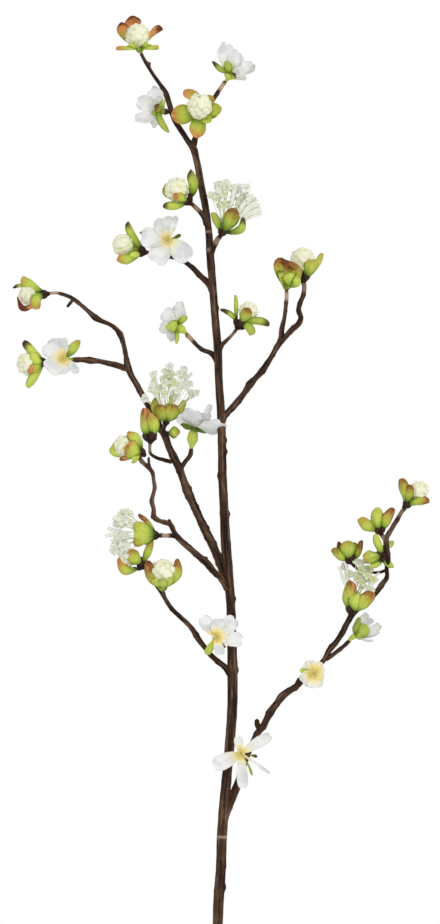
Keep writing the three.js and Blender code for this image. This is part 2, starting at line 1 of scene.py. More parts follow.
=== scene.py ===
# A spray of cherry blossom in a bottle vase: the looks model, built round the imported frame.
# The tables are in millimetres, heights in them count from the vase's rim, and meshes are in metres.
# +X is the right of the spray as it is looked at, +Y leads away from the onlooker and +Z is up.

import bpy
import numpy as np
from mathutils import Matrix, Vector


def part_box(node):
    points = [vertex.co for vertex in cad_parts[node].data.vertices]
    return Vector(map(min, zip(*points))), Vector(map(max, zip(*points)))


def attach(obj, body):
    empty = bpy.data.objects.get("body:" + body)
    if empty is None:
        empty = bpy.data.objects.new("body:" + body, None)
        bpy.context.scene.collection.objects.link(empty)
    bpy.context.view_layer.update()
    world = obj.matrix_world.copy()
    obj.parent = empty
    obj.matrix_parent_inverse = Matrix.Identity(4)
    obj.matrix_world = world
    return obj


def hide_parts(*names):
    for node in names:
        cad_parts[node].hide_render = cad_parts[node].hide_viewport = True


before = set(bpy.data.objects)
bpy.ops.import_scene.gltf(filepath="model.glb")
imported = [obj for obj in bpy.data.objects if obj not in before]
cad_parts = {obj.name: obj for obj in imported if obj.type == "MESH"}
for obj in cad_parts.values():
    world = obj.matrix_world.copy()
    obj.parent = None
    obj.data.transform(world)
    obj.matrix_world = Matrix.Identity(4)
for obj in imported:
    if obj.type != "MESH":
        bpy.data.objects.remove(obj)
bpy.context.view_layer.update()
mm = 0.001
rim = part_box("vase")[1].z / mm
print("frame loaded:", len(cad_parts), "nodes, the rim is at", round(rim, 1), "mm")


# Shader writing. A sum of sockets and numbers is written as one.

class Wire:
    # One output of a node. A sum with it adds the Math node that works it out.
    def __init__(self, recipe, socket):
        self.recipe = recipe
        self.socket = socket

    def other(self, name):  # another output of the same node
        return Wire(self.recipe, self.socket.node.outputs[name])

    def __add__(self, more):
        return self.recipe.sum("ADD", self, more)

    def __radd__(self, more):
        return self.recipe.sum("ADD", more, self)

    def __sub__(self, less):
        return self.recipe.sum("SUBTRACT", self, less)

    def __rsub__(self, whole):
        return self.recipe.sum("SUBTRACT", whole, self)

    def __mul__(self, times):
        return self.recipe.sum("MULTIPLY", self, times)

    def __rmul__(self, times):
        return self.recipe.sum("MULTIPLY", times, self)

    def __pow__(self, power):
        return self.recipe.sum("POWER", self, power)


class Recipe:
    # The nodes of one material, or of the world.
    def __init__(self, owner):
        self.owner = owner
        owner.use_nodes = True
        self.tree = owner.node_tree
        self.tree.nodes.clear()

    def node(self, kind, settings=None, sockets=None, output=0):  # settings are set before the sockets
        made = self.tree.nodes.new(kind)
        for key, value in (settings or {}).items():
            setattr(made, key, value)
        for key, value in (sockets or {}).items():
            if isinstance(value, Wire):
                self.tree.links.new(value.socket, made.inputs[key])
            else:
                made.inputs[key].default_value = value
        return Wire(self, made.outputs[output]) if made.outputs else None

    def sum(self, operation, first, second):  # or any other operation on two numbers
        return self.node("ShaderNodeMath", {"operation": operation}, {0: first, 1: second})

    def place(self):  # where a point lies in the frame, in metres
        return self.node("ShaderNodeTexCoord", output="Object")

    def kept(self, name):  # the three numbers that a mesh keeps at each of its points
        return self.node("ShaderNodeAttribute", {"attribute_name": name}, output="Vector")

    def parts(self, vector):  # its x, y and z
        first = self.node("ShaderNodeSeparateXYZ", sockets={0: vector})
        return first, first.other("Y"), first.other("Z")

    def noise(self, place, stretch, scale, detail=2.0, warp=0.0):  # place is first multiplied by stretch
        if stretch:
            place = self.node("ShaderNodeVectorMath", {"operation": "MULTIPLY"}, {0: place, 1: stretch})
        sockets = {"Vector": place, "Scale": scale, "Detail": detail, "Distortion": warp}
        return self.node("ShaderNodeTexNoise", sockets=sockets)

    def rise(self, value, low, high):  # 0 below low, 1 above high, an S-curve in between
        sockets = {"Value": value, "From Min": low, "From Max": high}
        return self.node("ShaderNodeMapRange", {"interpolation_type": "SMOOTHSTEP"}, sockets)

    def layers(self, colour, *coats):  # each coat is a share and the colour that covers so much of the rest
        for factor, coat in coats:
            sockets = {0: factor, 6: colour, 7: coat}
            colour = self.node("ShaderNodeMix", {"data_type": "RGBA"}, sockets, output=2)
        return colour

    def surface(self, colour, roughness, specular=0.5, relief=None, coat=(0.0, 0.0)):
        # relief is a height, how strongly it shows and how far it stands out, in metres. coat is how much
        # clear coat there is and how rough.
        sockets = {
            "Base Color": colour, "Roughness": roughness, "Specular IOR Level": specular,
            "Coat Weight": coat[0], "Coat Roughness": coat[1],
        }
        if relief:
            bump = dict(zip(("Height", "Strength", "Distance"), relief))
            sockets["Normal"] = self.node("ShaderNodeBump", sockets=bump)
        finish = self.node("ShaderNodeBsdfPrincipled", sockets=sockets)
        self.node("ShaderNodeOutputMaterial", sockets={0: finish})
        return self.owner


def newFinish(name):
    # An empty material.
    return Recipe(bpy.data.materials.new(name))


def tone(red, green, blue):
    # A colour as a screen shows it, 0 to 255, made linear.
    share = np.array([red, green, blue]) / 255
    linear = np.where(share < 0.04045, share / 12.92, ((share + 0.055) / 1.055) ** 2.4)
    return (*linear.tolist(), 1.0)


# Finishes. tint and the places are numbers that a mesh keeps at its points.

barkLook = {
    "dark": tone(30, 19, 12), "middle": tone(80, 57, 41), "worn": tone(126, 98, 80),
    "lenticel": tone(136, 106, 84), "joint": tone(214, 180, 152), "cup": tone(46, 26, 16),
}


def barkFinish(look=barkLook):
    # Streaks and fibres are noise drawn out along the stem, lenticels noise drawn out across it.
    # tint: x is paleness of a ring or joint, on a few stems partly a painted highlight, y cup, z darkness.
    r = newFinish("cherryBark")
    grain = r.kept("grainPlace")
    pale, cup, dark = r.parts(r.kept("tint"))
    fibres = r.noise(grain, (1.0, 1.0, 0.14), 1500.0, 3.0)
    streaks = r.noise(grain, (1.0, 1.0, 0.07), 400.0)
    patches = r.noise(grain, (1.0, 1.0, 0.3), 260.0)
    marks = r.rise(r.noise(grain, (0.45, 0.45, 2.2), 520.0, 1.0), 0.64, 0.7)
    colour = r.layers(
        look["dark"], (r.rise(0.3 * fibres + 0.7 * streaks, 0.36, 0.58), look["middle"]),
        (r.rise(0.5 * patches + 0.5 * streaks, 0.5, 0.66) * 0.75, look["worn"]),
        (marks * 0.3, look["lenticel"]), (r.rise(dark, 0.0, 1.0) * 0.8, look["dark"]),
        # pale: tan rings and joints, and on a few stems partly a painted highlight below the tip
        (cup * 0.85, look["cup"]), (pale * (0.7 + 0.3 * fibres), look["joint"]),
    )
    height = fibres * 0.7 + patches * 0.6 + marks * 0.4
    return r.surface(colour, 0.62 + 0.3 * fibres, 0.15, (height, 0.55, 0.0009))


leafLook = {
    "shade": tone(70, 104, 20), "green": tone(146, 188, 40), "light": tone(212, 224, 98),
    "yellow": tone(194, 180, 68), "peach": tone(218, 150, 90), "brown": tone(150, 96, 36),
    "rust": tone(112, 48, 24), "burnt": tone(84, 54, 24), "cup": tone(56, 34, 22),
}


def leafFinish(look=leafLook):
    # Green that lightens towards the tip and, as a painted highlight, in the middle, veined lengthwise, with
    # painted shade darkening its root and its edges, which also carry a dark rim of their own. A blushing tip
    # turns yellow, then peach or brown, which differ from place to place, and at last rust. A blush below
    # nothing is a burnt tip.
    # leafPlace: x across from -1 to 1, y from root to tip, z the leaf's own number.
    # tint: x blush, y how deep the green is, lighter below nothing, z how far up the brown of the cup
    # reaches.
    r = newFinish("bractGreen")
    place = r.kept("leafPlace")
    across, along = r.parts(place)[:2]
    blush, deep, cup = r.parts(r.kept("tint"))
    edge = across ** 2
    veins = r.noise(place, (7.0, 0.9, 3.0), 1.6)
    blotches = r.noise(r.place(), None, 260.0, 3.0)
    # light: lighter towards the tip, and in the middle as a painted highlight
    light = r.rise(along + 0.6 * (veins + blotches) - 0.5 * edge, 0.4, 1.15)
    # root: painted shade towards the leaf's root
    root = r.rise(0.42 - along + 0.3 * blotches, 0.1, 0.5)
    reach = along + 0.5 * (blotches - 0.5) + 0.7 * blush + 0.16 * r.rise(edge, 0.6, 1.0)
    hue = r.rise(r.noise(place, (1.6, 1.0, 6.0), 1.5) - 1.2 * deep, 0.35, 0.6)
    uneven = 0.2 * (blotches - 0.5)
    burn = r.rise(along + uneven - 0.45 * blush, 0.98, 1.22)
    colour = r.layers(
        # the shade colour laid by edge and root is painted shade, at the edge partly a dark rim of the leaf's
        # own
        look["green"], (light, look["light"]), (r.rise(edge, 0.5, 1.0) * 0.6, look["shade"]),
        (r.rise(veins, 0.5, 0.7) * 0.45, look["shade"]), (root * 0.65, look["shade"]),
        (0.0 - deep, look["light"]),
        (r.rise(reach, 0.8, 1.15) * r.rise(blush, 0.02, 0.3) * 0.8, look["yellow"]),
        (r.rise(reach, 1.04, 1.34) * r.rise(blush, 0.05, 0.5), r.layers(look["brown"], (hue, look["peach"]))),
        (r.rise(reach, 1.36, 1.6) * r.rise(blush, 0.3, 0.9), look["rust"]),
        (burn * r.rise(0.0 - blush, 0.0, 0.3), look["burnt"]), (deep, look["shade"]),
        (r.rise(cup - along + uneven, 0.0, 0.22), look["cup"]),
    )
    return r.surface(colour, 0.5 + 0.25 * veins, 0.3, (veins + 0.5 * blotches, 0.4, 0.0006))


petalLook = {
    # edge: the grey of the painted shade on the petals' edges and in patches
    "white": tone(249, 249, 248), "vein": tone(222, 224, 223), "edge": tone(216, 219, 221),
    "root": tone(230, 230, 202), "warm": tone(253, 241, 186), "yolk": tone(238, 209, 88),
}


def petalFinish(look=petalLook):
    # White with faint veins that fan out from the root, greyed by painted shade in patches and towards the
    # tip and edges, creamy at the root, and yellow there on an open flower.
    # tint: x warmth, z how far the point is from the flower's middle, as a share of the warmth's reach.
    r = newFinish("petalWhite")
    place = r.kept("leafPlace")
    across, along = r.parts(place)[:2]
    veins = r.noise(place, (9.0, 1.2, 5.0), 1.5, 3.0)
    crumple = r.noise(r.place(), None, 420.0, 2.0, 0.4)
    patches = r.noise(r.place(), None, 90.0, 1.0)
    tint = r.parts(r.kept("tint"))
    warmth, far = tint[0], tint[2] + 0.3 * (crumple - 0.5)
    # edge: painted shade, greyer towards the tip and the edges
    edge = r.rise(along * (0.6 + 0.4 * across ** 2) + 0.3 * (veins - 0.5), 0.62, 0.98)
    colour = r.layers(
        look["white"], (r.rise(veins, 0.5, 0.72) * 0.7, look["vein"]),
        # the edge colour in patches and along the edge is painted shade
        (r.rise(patches, 0.42, 0.66) * 0.75, look["edge"]), (edge * 0.8, look["edge"]),
        (r.rise(0.65 - along, 0.0, 0.6) * 0.7, look["root"]),
        ((1.0 - r.rise(far, 0.5, 1.2)) * warmth, look["warm"]),
        ((1.0 - r.rise(far, 0.1, 0.85)) * warmth, look["yolk"]),
    )
    return r.surface(colour, 0.55 + 0.2 * crumple, 0.2, (veins + crumple, 0.3, 0.0007))


floretLook = {
    # the valley colour is painted shade between the domes, tinted green
    "cream": tone(251, 250, 222), "valleyShade": tone(230, 234, 184), "green": tone(190, 204, 110),
    "white": tone(252, 252, 246), "lace": tone(252, 252, 244), "grey": tone(228, 232, 216),
    "pale": tone(206, 216, 132), "anther": tone(244, 228, 146), "eye": tone(212, 178, 86),
    "thread": tone(246, 238, 180),
}


def floretFinish(look=floretLook):
    # Cream domes with painted shade, tinted green, in the valleys between them.
    # tint: x depth of the valley, which sets how much painted shade it gets, y greenness of the whole.
    r = newFinish("floretCream")
    valleyShade, green = r.parts(r.kept("tint"))[:2]
    specks = r.noise(r.place(), None, 900.0)
    colour = r.layers(
        look["cream"], (r.rise(valleyShade, 0.3, 1.0), look["valleyShade"]),
        (r.rise(specks, 0.5, 0.8) * 0.25, look["white"]), (green, look["green"]),
    )
    return r.surface(colour, 0.6 + 0.2 * specks, 0.25, (specks, 0.3, 0.0005))


def cloudFinish(look=floretLook):
    # Thin petals of the open florets: white, greyer in patches, and green at their roots.
    # tint: x greenness, y anther.
    r = newFinish("floretLace")
    place = r.kept("leafPlace")
    along = r.parts(place)[1]
    green, anther = r.parts(r.kept("tint"))[:2]
    specks = r.noise(place, (3.0, 3.0, 9.0), 1.7)
    colour = r.layers(
        look["lace"], (r.rise(specks, 0.42, 0.7), look["grey"]), (green * (1.15 - 0.6 * along), look["pale"]),
        (anther, look["anther"]),
    )
    return r.surface(colour, 0.6 + 0.2 * specks, 0.2)


def threadFinish(look=floretLook):
    # Stamens: pale threads with yellow tips, and the orange boss that they stand round.
    # tint: x anther, y boss.
    r = newFinish("stamenYellow")
    anther, boss = r.parts(r.kept("tint"))[:2]
    specks = r.noise(r.place(), None, 1500.0, 1.0)
    colour = r.layers(
        look["thread"], (anther, look["anther"]), (boss, look["eye"]),
        (r.rise(specks, 0.5, 0.8) * 0.3, look["cream"]),
    )
    return r.surface(colour, 0.55 + 0.2 * specks, 0.25)


glazeLook = {
    "pale": tone(206, 214, 200), "deep": tone(172, 186, 168), "speck": tone(120, 112, 92),
    "thin": tone(190, 176, 146), "clay": tone(176, 146, 116), "grit": tone(134, 104, 78),
    "foot": (2.8, 3.7), "lip": (1.6, 0.2),  # heights of the foot's edge, and of the lip's below the rim
}


def glazeFinish(look=glazeLook):
    # A pale green glaze with iron specks, which runs thin at the lip and stops above the clay of the foot.
    r = newFinish("celadonGlaze")
    place = r.place()
    z = r.parts(place)[2]
    drift = r.noise(place, None, 34.0, 3.0)
    cloud = r.noise(place, (1.0, 1.0, 0.5), 70.0, 2.0, 0.6)
    specks = r.rise(r.noise(place, None, 640.0, 1.0), 0.7, 0.76)
    grit = r.noise(place, None, 1400.0)
    foot = r.rise(z + 0.0012 * drift, look["foot"][0] * mm, look["foot"][1] * mm)
    lip = r.rise(z + 0.001 * cloud, (rim - look["lip"][0]) * mm, (rim - look["lip"][1]) * mm)
    glaze = r.layers(
        look["pale"], (r.rise(cloud + 0.4 * drift, 0.45, 0.9), look["deep"]), (specks * 0.6, look["speck"]),
        (lip * 0.8, look["thin"]),
    )
    colour = r.layers(look["clay"], (r.rise(grit, 0.4, 0.7), look["grit"]), (foot, glaze))
    height = foot * (0.4 * cloud + 0.6 * specks) + (1.0 - foot) * grit
    roughness = 0.8 - 0.5 * foot + 0.1 * cloud
    return r.surface(colour, roughness, relief=(height, 0.12, 0.0008), coat=(foot * 0.6, 0.12))


finishes = {
    "bark": barkFinish(), "leaf": leafFinish(), "petal": petalFinish(), "floret": floretFinish(),
    "cloud": cloudFinish(), "thread": threadFinish(), "glaze": glazeFinish(),
}
print("finishes made:", len(finishes))


# Shapes. Each is worked out as whole arrays, and is a closed skin: rings of points, and a point at each end.

def unit(vectors):
    # Each vector divided by its length.
    return vectors / np.maximum(np.linalg.norm(vectors, axis=-1, keepdims=True), 1e-9)


def squareTo(vectors, axes):
    # What is left of each vector once its share along the axis is taken away, made one long.
    return unit(vectors - axes * (vectors * axes).sum(-1, keepdims=True))


def xyz(x, y, z):
    # Points from three arrays or numbers, spread to one shape.
    return np.stack(np.broadcast_arrays(x, y, z), -1)


def fullTurn(count):
    # Angles in equal steps once round.
    return 2 * np.pi * np.arange(count) / count


def allRound(direction, hint, turn):
    # Directions square to each direction: the nearest to its hint, turned on by each angle of turn.
    sideways = squareTo(np.broadcast_to(hint, direction.shape), direction)
    upright = np.cross(sideways, direction)
    return sideways[..., None, :] * np.cos(turn)[..., None] + upright[..., None, :] * np.sin(turn)[..., None]


def golden(count):
    # Directions spread evenly over a sphere: equal steps of height, each turned on by the golden angle.
    height = 1 - 2 * (np.arange(count) + 0.5) / count
    turn = np.arange(count) * np.pi * (3 - 5 ** 0.5)
    side = np.sqrt(1 - height ** 2)
    return np.stack([side * np.cos(turn), side * np.sin(turn), height], -1)


def turnedTo(directions, axis):
    # Directions about +Z, turned so that +Z lies along axis.
    sideways = squareTo(np.array([0.31, -0.9, 0.24]), axis)
    return directions @ np.stack([sideways, np.cross(axis, sideways), axis])


def skinFaces(rings, around):
    # Two triangles for each step round each ring, and a fan at each end.
    i = np.arange(around)
    j = (i + 1) % around
    start = np.arange(rings - 1)[:, None] * around
    a, b = start + i, start + j
    sides = np.stack([a, b, b + around, a, b + around, a + around], -1).reshape(-1, 3)
    last = (rings - 1) * around
    bottom = xyz(rings * around, j, i)
    top = xyz(rings * around + 1, last + i, last + j)
    return np.concatenate([sides, bottom, top])


class Skins:
    # Closed skins that are gathered into one mesh.
    def __init__(self):
        self.points = []
        self.faces = []
        self.places = []
        self.tints = []
        self.count = 0

    def add(self, rings, ends, places, tints):
        # rings: skins, rings, around, 3. ends: skins, 2, 3. places and tints: skins, points, 3.
        # A skin whose signed volume is below nothing has its faces turned over.
        skins, number, around = rings.shape[:3]
        points = np.concatenate([rings.reshape(skins, -1, 3), ends], axis=1)
        faces = np.tile(skinFaces(number, around), (skins, 1, 1))
        corners = points[np.arange(skins)[:, None, None], faces] - points.mean(1)[:, None, None]
        volumes = np.einsum("kti,kti->k", corners[:, :, 0], np.cross(corners[:, :, 1], corners[:, :, 2]))
        faces[volumes < 0] = faces[volumes < 0][:, :, ::-1]
        starts = self.count + np.arange(skins) * points.shape[1]
        self.points.append(points.reshape(-1, 3))
        self.faces.append((faces + starts[:, None, None]).reshape(-1, 3))
        self.places.append(np.broadcast_to(places, points.shape).reshape(-1, 3))
        self.tints.append(np.broadcast_to(tints, points.shape).reshape(-1, 3))
        self.count += points.shape[0] * points.shape[1]


def addPiece(name, skins, finish, nodes, placeName="leafPlace"):
    # One mesh of all the skins. Heights that count from the rim become the frame's, and millimetres metres.
    points = np.concatenate(skins.points) + (0, 0, rim)
    faces = np.concatenate(skins.faces)
    mesh = bpy.data.meshes.new(name)
    mesh.vertices.add(len(points))
    mesh.vertices.foreach_set("co", (points * mm).ravel())
    mesh.loops.add(faces.size)
    mesh.loops.foreach_set("vertex_index", faces.ravel())
    mesh.polygons.add(len(faces))
    mesh.polygons.foreach_set("loop_start", np.arange(0, faces.size, 3))
    mesh.polygons.foreach_set("use_smooth", np.ones(len(faces), bool))
    for key, values in {placeName: skins.places, "tint": skins.tints}.items():
        kept = mesh.attributes.new(key, "FLOAT_VECTOR", "POINT")
        kept.data.foreach_set("vector", np.concatenate(values).ravel())
    mesh.update(calc_edges=True)
    mesh.materials.append(finishes[finish])
    piece = bpy.data.objects.new(name, mesh)
    bpy.context.scene.collection.objects.link(piece)
    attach(piece, "root")
    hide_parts(*nodes)
    return piece


def smoothPath(points, step):
    # A curve through points: cubic between neighbours, its slope at each the mean of those on both sides.
    # Returns the curve's points, its direction there, how far along they are, and how far the given points
    # are.
    chord = np.concatenate([[0.0], np.cumsum(np.linalg.norm(np.diff(points, axis=0), axis=1))])
    slope = np.gradient(points, chord, axis=0)
    along = np.linspace(0, chord[-1], max(4, int(chord[-1] / step) + 1))
    k = np.clip(np.searchsorted(chord, along, side="right") - 1, 0, len(chord) - 2)
    gap = (chord[k + 1] - chord[k])[:, None]
    t = (along - chord[k])[:, None] / gap
    curve = (
        (2 * t**3 - 3 * t**2 + 1) * points[k] + (t**3 - 2 * t**2 + t) * gap * slope[k]
        + (3 * t**2 - 2 * t**3) * points[k + 1] + (t**3 - t**2) * gap * slope[k + 1]
    )
    return curve, unit(np.gradient(curve, axis=0)), along, chord


def roundedEnds(along, radius):
    # Draws the radius in as a quarter of an ellipse over the last stretch at each end.
    edge = np.clip(np.minimum(along, along[-1] - along) / (0.8 * radius), 0, 1)
    return radius * np.sqrt(np.clip(1 - (1 - edge) ** 2, 0.04, 1))


def fluteWaves(turn, s, own):
    # Waves with two to seven crests round the stem, which turn slowly along it, and one that runs along it.
    return (
        np.sin(2 * turn + s / 23 + own) + 0.8 * np.sin(3 * turn - s / 31 + 2 * own)
        + 0.6 * np.sin(5 * turn + 1.7 * np.sin(s / 17) + own) + 0.5 * np.sin(s / 2.3 + 2 * np.sin(turn + own))
        + 0.5 * np.sin(7 * turn + s / 9) * np.sin(s / 3.1 + own)
    )


def scarBells(turn, along, own, scars):
    # Leaf scars in turn round the stem, each a bell along it times the square of a cosine round it.
    chance = np.random.default_rng(int(own * 10) + 40)
    count = max(1, int(along[-1] / scars["spacing"]))
    at = (np.arange(count) + chance.uniform(0.2, 0.8, count)) * along[-1] / count
    side = np.arange(count) * 2.4 + chance.uniform(0, 1.5, count)
    bells = np.exp(-((along[:, None, None] - at) ** 2) / (2 * scars["wide"] ** 2))
    facing = 0.3 + 0.7 * np.clip(np.cos(turn[:, None] - side), 0, 1) ** 2
    return (bells * facing * chance.uniform(0.4, 1, count)).sum(-1)


def tube(
    skins, route, step, sides, tint=(0, 0, 0), fluting=0.0, knots=(), rings=(), collar=0.0, own=0.0,
    scars=None, joint=None, leafy=False,
):
    # A round stem along a smooth curve through its route's points, each [x, y, height, radius].
    # Its radius swells by fluting, by scars, by knots, each a bell-shaped lump about a point, and by a collar
    # where it starts. rings are pale bands at heights, and joint is a pale stretch below its tip, on a few
    # stems
    # partly a painted highlight: how pale, how far below and how wide. A leafy tube keeps places as a leaf
    # does, from its root to its top.
    route = np.array(route, float)
    centres, direction, along, chord = smoothPath(route[:, :3], step)
    radius = np.interp(along, chord, route[:, 3])
    radius = radius * (1 + collar * np.exp(-along / (1.6 * route[0, 3])))
    radius = roundedEnds(along, radius)[:, None]
    turn = fullTurn(sides)
    outward = allRound(direction, np.cross(direction, (0.12, 1.0, 0.05)), turn)
    s = along[:, None] + 40 * own
    waves = fluteWaves(turn, s, own)
    if scars:
        waves = waves + scars["out"] / fluting * scarBells(turn, along, own, scars)
    reach = radius * (1 + fluting * waves)
    surface = centres[:, None] + outward * reach[..., None]
    for x, y, height, out, wide in knots:
        bell = np.exp(-((surface - (x, y, height)) ** 2).sum(-1) / (2 * wide**2))
        surface = surface + outward * (out * bell)[..., None]
    tints = np.broadcast_to(np.array(tint, float), surface.shape).copy()
    for height, wide, strength in rings:
        tints[..., 0] += strength * np.exp(-((surface[..., 2] - height) ** 2) / (2 * wide**2))
    if joint:
        pale, below, wide = joint
        tints[..., 0] += pale * np.exp(-(((along[-1] - along - below) / wide) ** 4))[:, None]
    if leafy:
        place = xyz(0.5 * np.cos(turn), 0.35 + 0.4 * (along / along[-1])[:, None], own)
        endPlace = np.array([(0, 0.35, own), (0, 0.75, own)])
    else:
        place = xyz(radius * np.cos(turn), radius * np.sin(turn), s) * mm
        endPlace = xyz(0.0, 0.0, s[[0, -1], 0] * mm)
    places = np.concatenate([place.reshape(-1, 3), endPlace])[None]
    tints = np.concatenate([tints.reshape(-1, 3), tints[[0, -1], 0]])[None]
    skins.add(surface[None], centres[None, [0, -1]], places, np.clip(tints, 0, 1))


def blades(skins, roots, vias, tips, inside, widths, form, tints, seed, heart=None, reach=1.0):
    # Leaves or petals, as many at once as there are roots. The middle line is a parabola from root to tip
    # that passes through via halfway. Half the width there is y**base * (1 - y)**point, scaled to its
    # greatest value. The section is a thin ellipse whose edges rise on the inside by cup times the square
    # of the way out, and ripple by ruffle times its cube. notch draws the middle of the tip back. With a
    # heart, the third tint is the distance from it divided by reach.
    roots, vias, tips, inside = (np.array(v, float).reshape(-1, 3) for v in (roots, vias, tips, inside))
    count, rings, base, point = len(roots), form["rings"], form["base"], form["point"]
    widths = np.broadcast_to(np.array(widths, float), count)
    tints = np.broadcast_to(np.array(tints, float), (count, 3))
    chance = np.random.default_rng(seed)
    y = 0.5 - 0.5 * np.cos(np.pi * np.arange(rings + 2) / (rings + 1))
    turn = fullTurn(form["around"])
    chord = tips - roots
    length = np.linalg.norm(chord, axis=1, keepdims=True)
    handles = np.stack([roots, 2 * vias - (roots + tips) / 2, tips], 1)
    middle = np.einsum("yw,kwi->kyi", np.stack([(1 - y) ** 2, 2 * y * (1 - y), y**2], -1), handles)
    direction = unit(np.einsum("yw,kwi->kyi", np.stack([y - 1, 1 - 2 * y, y], -1), handles))
    sideways = squareTo(np.broadcast_to(np.cross(chord, inside)[:, None], direction.shape), direction)
    upward = np.cross(sideways, direction)
    twist = (form["twist"] * chance.uniform(-1, 1, (count, 1)) * y)[..., None]
    sideways, upward = (
        sideways * np.cos(twist) + upward * np.sin(twist), upward * np.cos(twist) - sideways * np.sin(twist),
    )
    top = base / (base + point)
    outline = y**base * (1 - y) ** point
    half = (widths[:, None] / 2 * outline / (top**base * (1 - top) ** point))[..., None]
    across, through = np.cos(turn), np.sin(turn)
    phase = chance.uniform(0, 2 * np.pi, (count, 1, 1))
    ripple = np.sin(2 * np.pi * form["waves"] * y[None, :, None] + phase + 1.9 * (across > 0))
    lift = half * (form["cup"] * across**2 + form["ruffle"] * np.abs(across) ** 3 * ripple)
    lift = lift + form["thick"] / 2 * (1 - 0.55 * y)[None, :, None] * through
    back = form["notch"] * length[:, :, None] * (y**6)[None, :, None] * (1 - across**2)
    surface = (
        middle[:, :, None] + sideways[:, :, None] * (half * across)[..., None]
        + upward[:, :, None] * lift[..., None] - direction[:, :, None] * back[..., None]
    )
    ends = np.stack([middle[:, 0], middle[:, -1] - direction[:, -1] * form["notch"] * length], 1)
    own = chance.uniform(0, 9, count)
    place = xyz(across, y[1:-1, None], own[:, None, None])
    endPlace = xyz(0.0, np.array([0.0, 1.0]), own[:, None])
    places = np.concatenate([place.reshape(count, -1, 3), endPlace], 1)
    tints = np.repeat(tints[:, None], places.shape[1], axis=1)
    if heart is not None:
        points = np.concatenate([surface[:, 1:-1].reshape(count, -1, 3), ends], 1)
        tints[..., 2] = np.linalg.norm(points - heart, axis=2) / reach
    skins.add(surface[:, 1:-1], ends, places, tints)


def bowed(roots, tips, outward, bow):
    # The point halfway along each leaf, pushed outward from the chord by bow times its length.
    chord = tips - roots
    length = np.linalg.norm(chord, axis=1, keepdims=True)
    return (roots + tips) / 2 + squareTo(outward, chord / length) * length * np.reshape(bow, (-1, 1))


def frontTurned(inside, chord, depth, share):
    # The hollow side's direction, turned towards the front on a leaf at the back of its blossom, and
    # towards the back on a leaf at its front.
    return squareTo(inside, unit(chord)) + share * xyz(0.0, np.where(depth > 0, -1.0, 1.0), 0.0)


def threads(skins, starts, bends, ends, radii, tints, sides=5):
    # Thin round threads, as many at once as there are starts. Each follows a parabola that leaves its start
    # towards its bend. radii and tints are given from start to end, evenly spaced.
    starts, bends, ends = (np.array(v, float).reshape(-1, 3) for v in (starts, bends, ends))
    radii, tints = np.array(radii, float), np.array(tints, float)
    t = np.linspace(0.02, 0.98, len(radii))[:, None]
    line = (1 - t) ** 2 * starts[:, None] + 2 * t * (1 - t) * bends[:, None] + t**2 * ends[:, None]
    direction = unit(2 * (1 - t) * (bends - starts)[:, None] + 2 * t * (ends - bends)[:, None])
    outward = allRound(direction, (0.36, 0.8, 0.48), fullTurn(sides))
    surface = line[:, :, None] + outward * radii[:, None, None]
    pointTints = np.concatenate([np.repeat(tints, sides, axis=0), tints[[0, -1]]])[None]
    skins.add(surface, np.stack([starts, ends], 1), pointTints * 0, pointTints)


def lumpyBall(skins, centre, radius, axis, form, seed):
    # A ball of closed florets: each point of it is raised by a dome about the nearest of many directions,
    # which are golden ones put off a little, and domes differ in height. It is greener towards the end that
    # it stands on.
    rings, around, domes, relief = form["rings"], form["around"], form["domes"], form["relief"]
    tilt = np.pi * np.arange(1, rings + 1)[:, None] / (rings + 1)
    turn = fullTurn(around)
    ring = xyz(np.sin(tilt) * np.cos(turn), np.sin(tilt) * np.sin(turn), np.cos(tilt))
    directions = np.concatenate([ring.reshape(-1, 3), [(0, 0, 1), (0, 0, -1)]])
    chance = np.random.default_rng(seed + 300)
    peaks = unit(golden(domes) + chance.normal(size=(domes, 3)) * form["stray"] / np.sqrt(domes))
    grown = chance.uniform(form["least"], 1, domes)
    near = directions @ peaks.T
    nearest = np.arccos(np.clip(near.max(1), -1, 1))
    slope = nearest * np.sqrt(domes) / form["domeWidth"]
    dome = np.sqrt(np.clip(1 - slope ** 2, 0, 1)) * grown[near.argmax(1)]
    swell = 1 + 0.05 * np.sin(5 * directions[:, 0] + 3 * directions[:, 2]) * np.sin(4 * directions[:, 1] + 1)
    height = radius * swell * (1 - relief * 0.75 + relief * dome)
    points = centre + turnedTo(directions * height[:, None] * (1, 1, form["long"]), axis)
    low = np.clip(-0.2 - directions[:, 2], 0, 0.6)
    # x is the depth between domes, which the floret finish paints as shade
    tints = xyz(1 - dome, np.clip(form["green"] + low, 0, 1), 0.0)
    skins.add(points[:-2].reshape(1, rings, around, 3), points[None, -2:], tints[None] * 0, tints[None])


def petalTips(skins, centre, radius, axis, form, seed):
    # Loose petal tips that stand off the ball, thickest round its crown.
    chance = np.random.default_rng(seed + 350)
    ways = golden(form["of"])[:form["count"]]
    ways = unit(ways + form["stray"][0] * chance.normal(size=ways.shape))
    lean = chance.normal(size=ways.shape) * form["lean"]
    tips = centre + turnedTo(ways, axis) * radius * chance.uniform(*form["reach"], (len(ways), 1)) + lean
    rootWays = unit(ways + form["stray"][1] * chance.normal(size=ways.shape))
    roots = centre + turnedTo(rootWays, axis) * radius * form["root"]
    widths = chance.uniform(*form["widths"], len(ways))
    inside = squareTo(lean + (0.3, 0.2, 0.9), unit(tips - roots))
    blades(skins, roots, (roots + tips) / 2, tips, inside, widths, tipForm, (0.1, 0, 0), seed)


# The vase: a profile turned round the upright axis, up the outside, over the lip and down the inside

vaseLook = {
    "footRadius": 37.0, "bellyRadius": 58.0, "bellyHeight": 84.0, "lowBelly": (0.92, 38.0),
    "shoulder": (0.74, 150.0), "neckRadius": 18.0, "neckHeight": 196.0, "flare": (1.5, 14.0),
    "lipRadius": 20.5, "lipHeight": 18.0, "wall": 5.0, "floor": 8.0, "recess": 2.0, "footRing": 6.0,
    "sides": 180, "throwing": 0.12,  # how far its throwing rings stand out
}


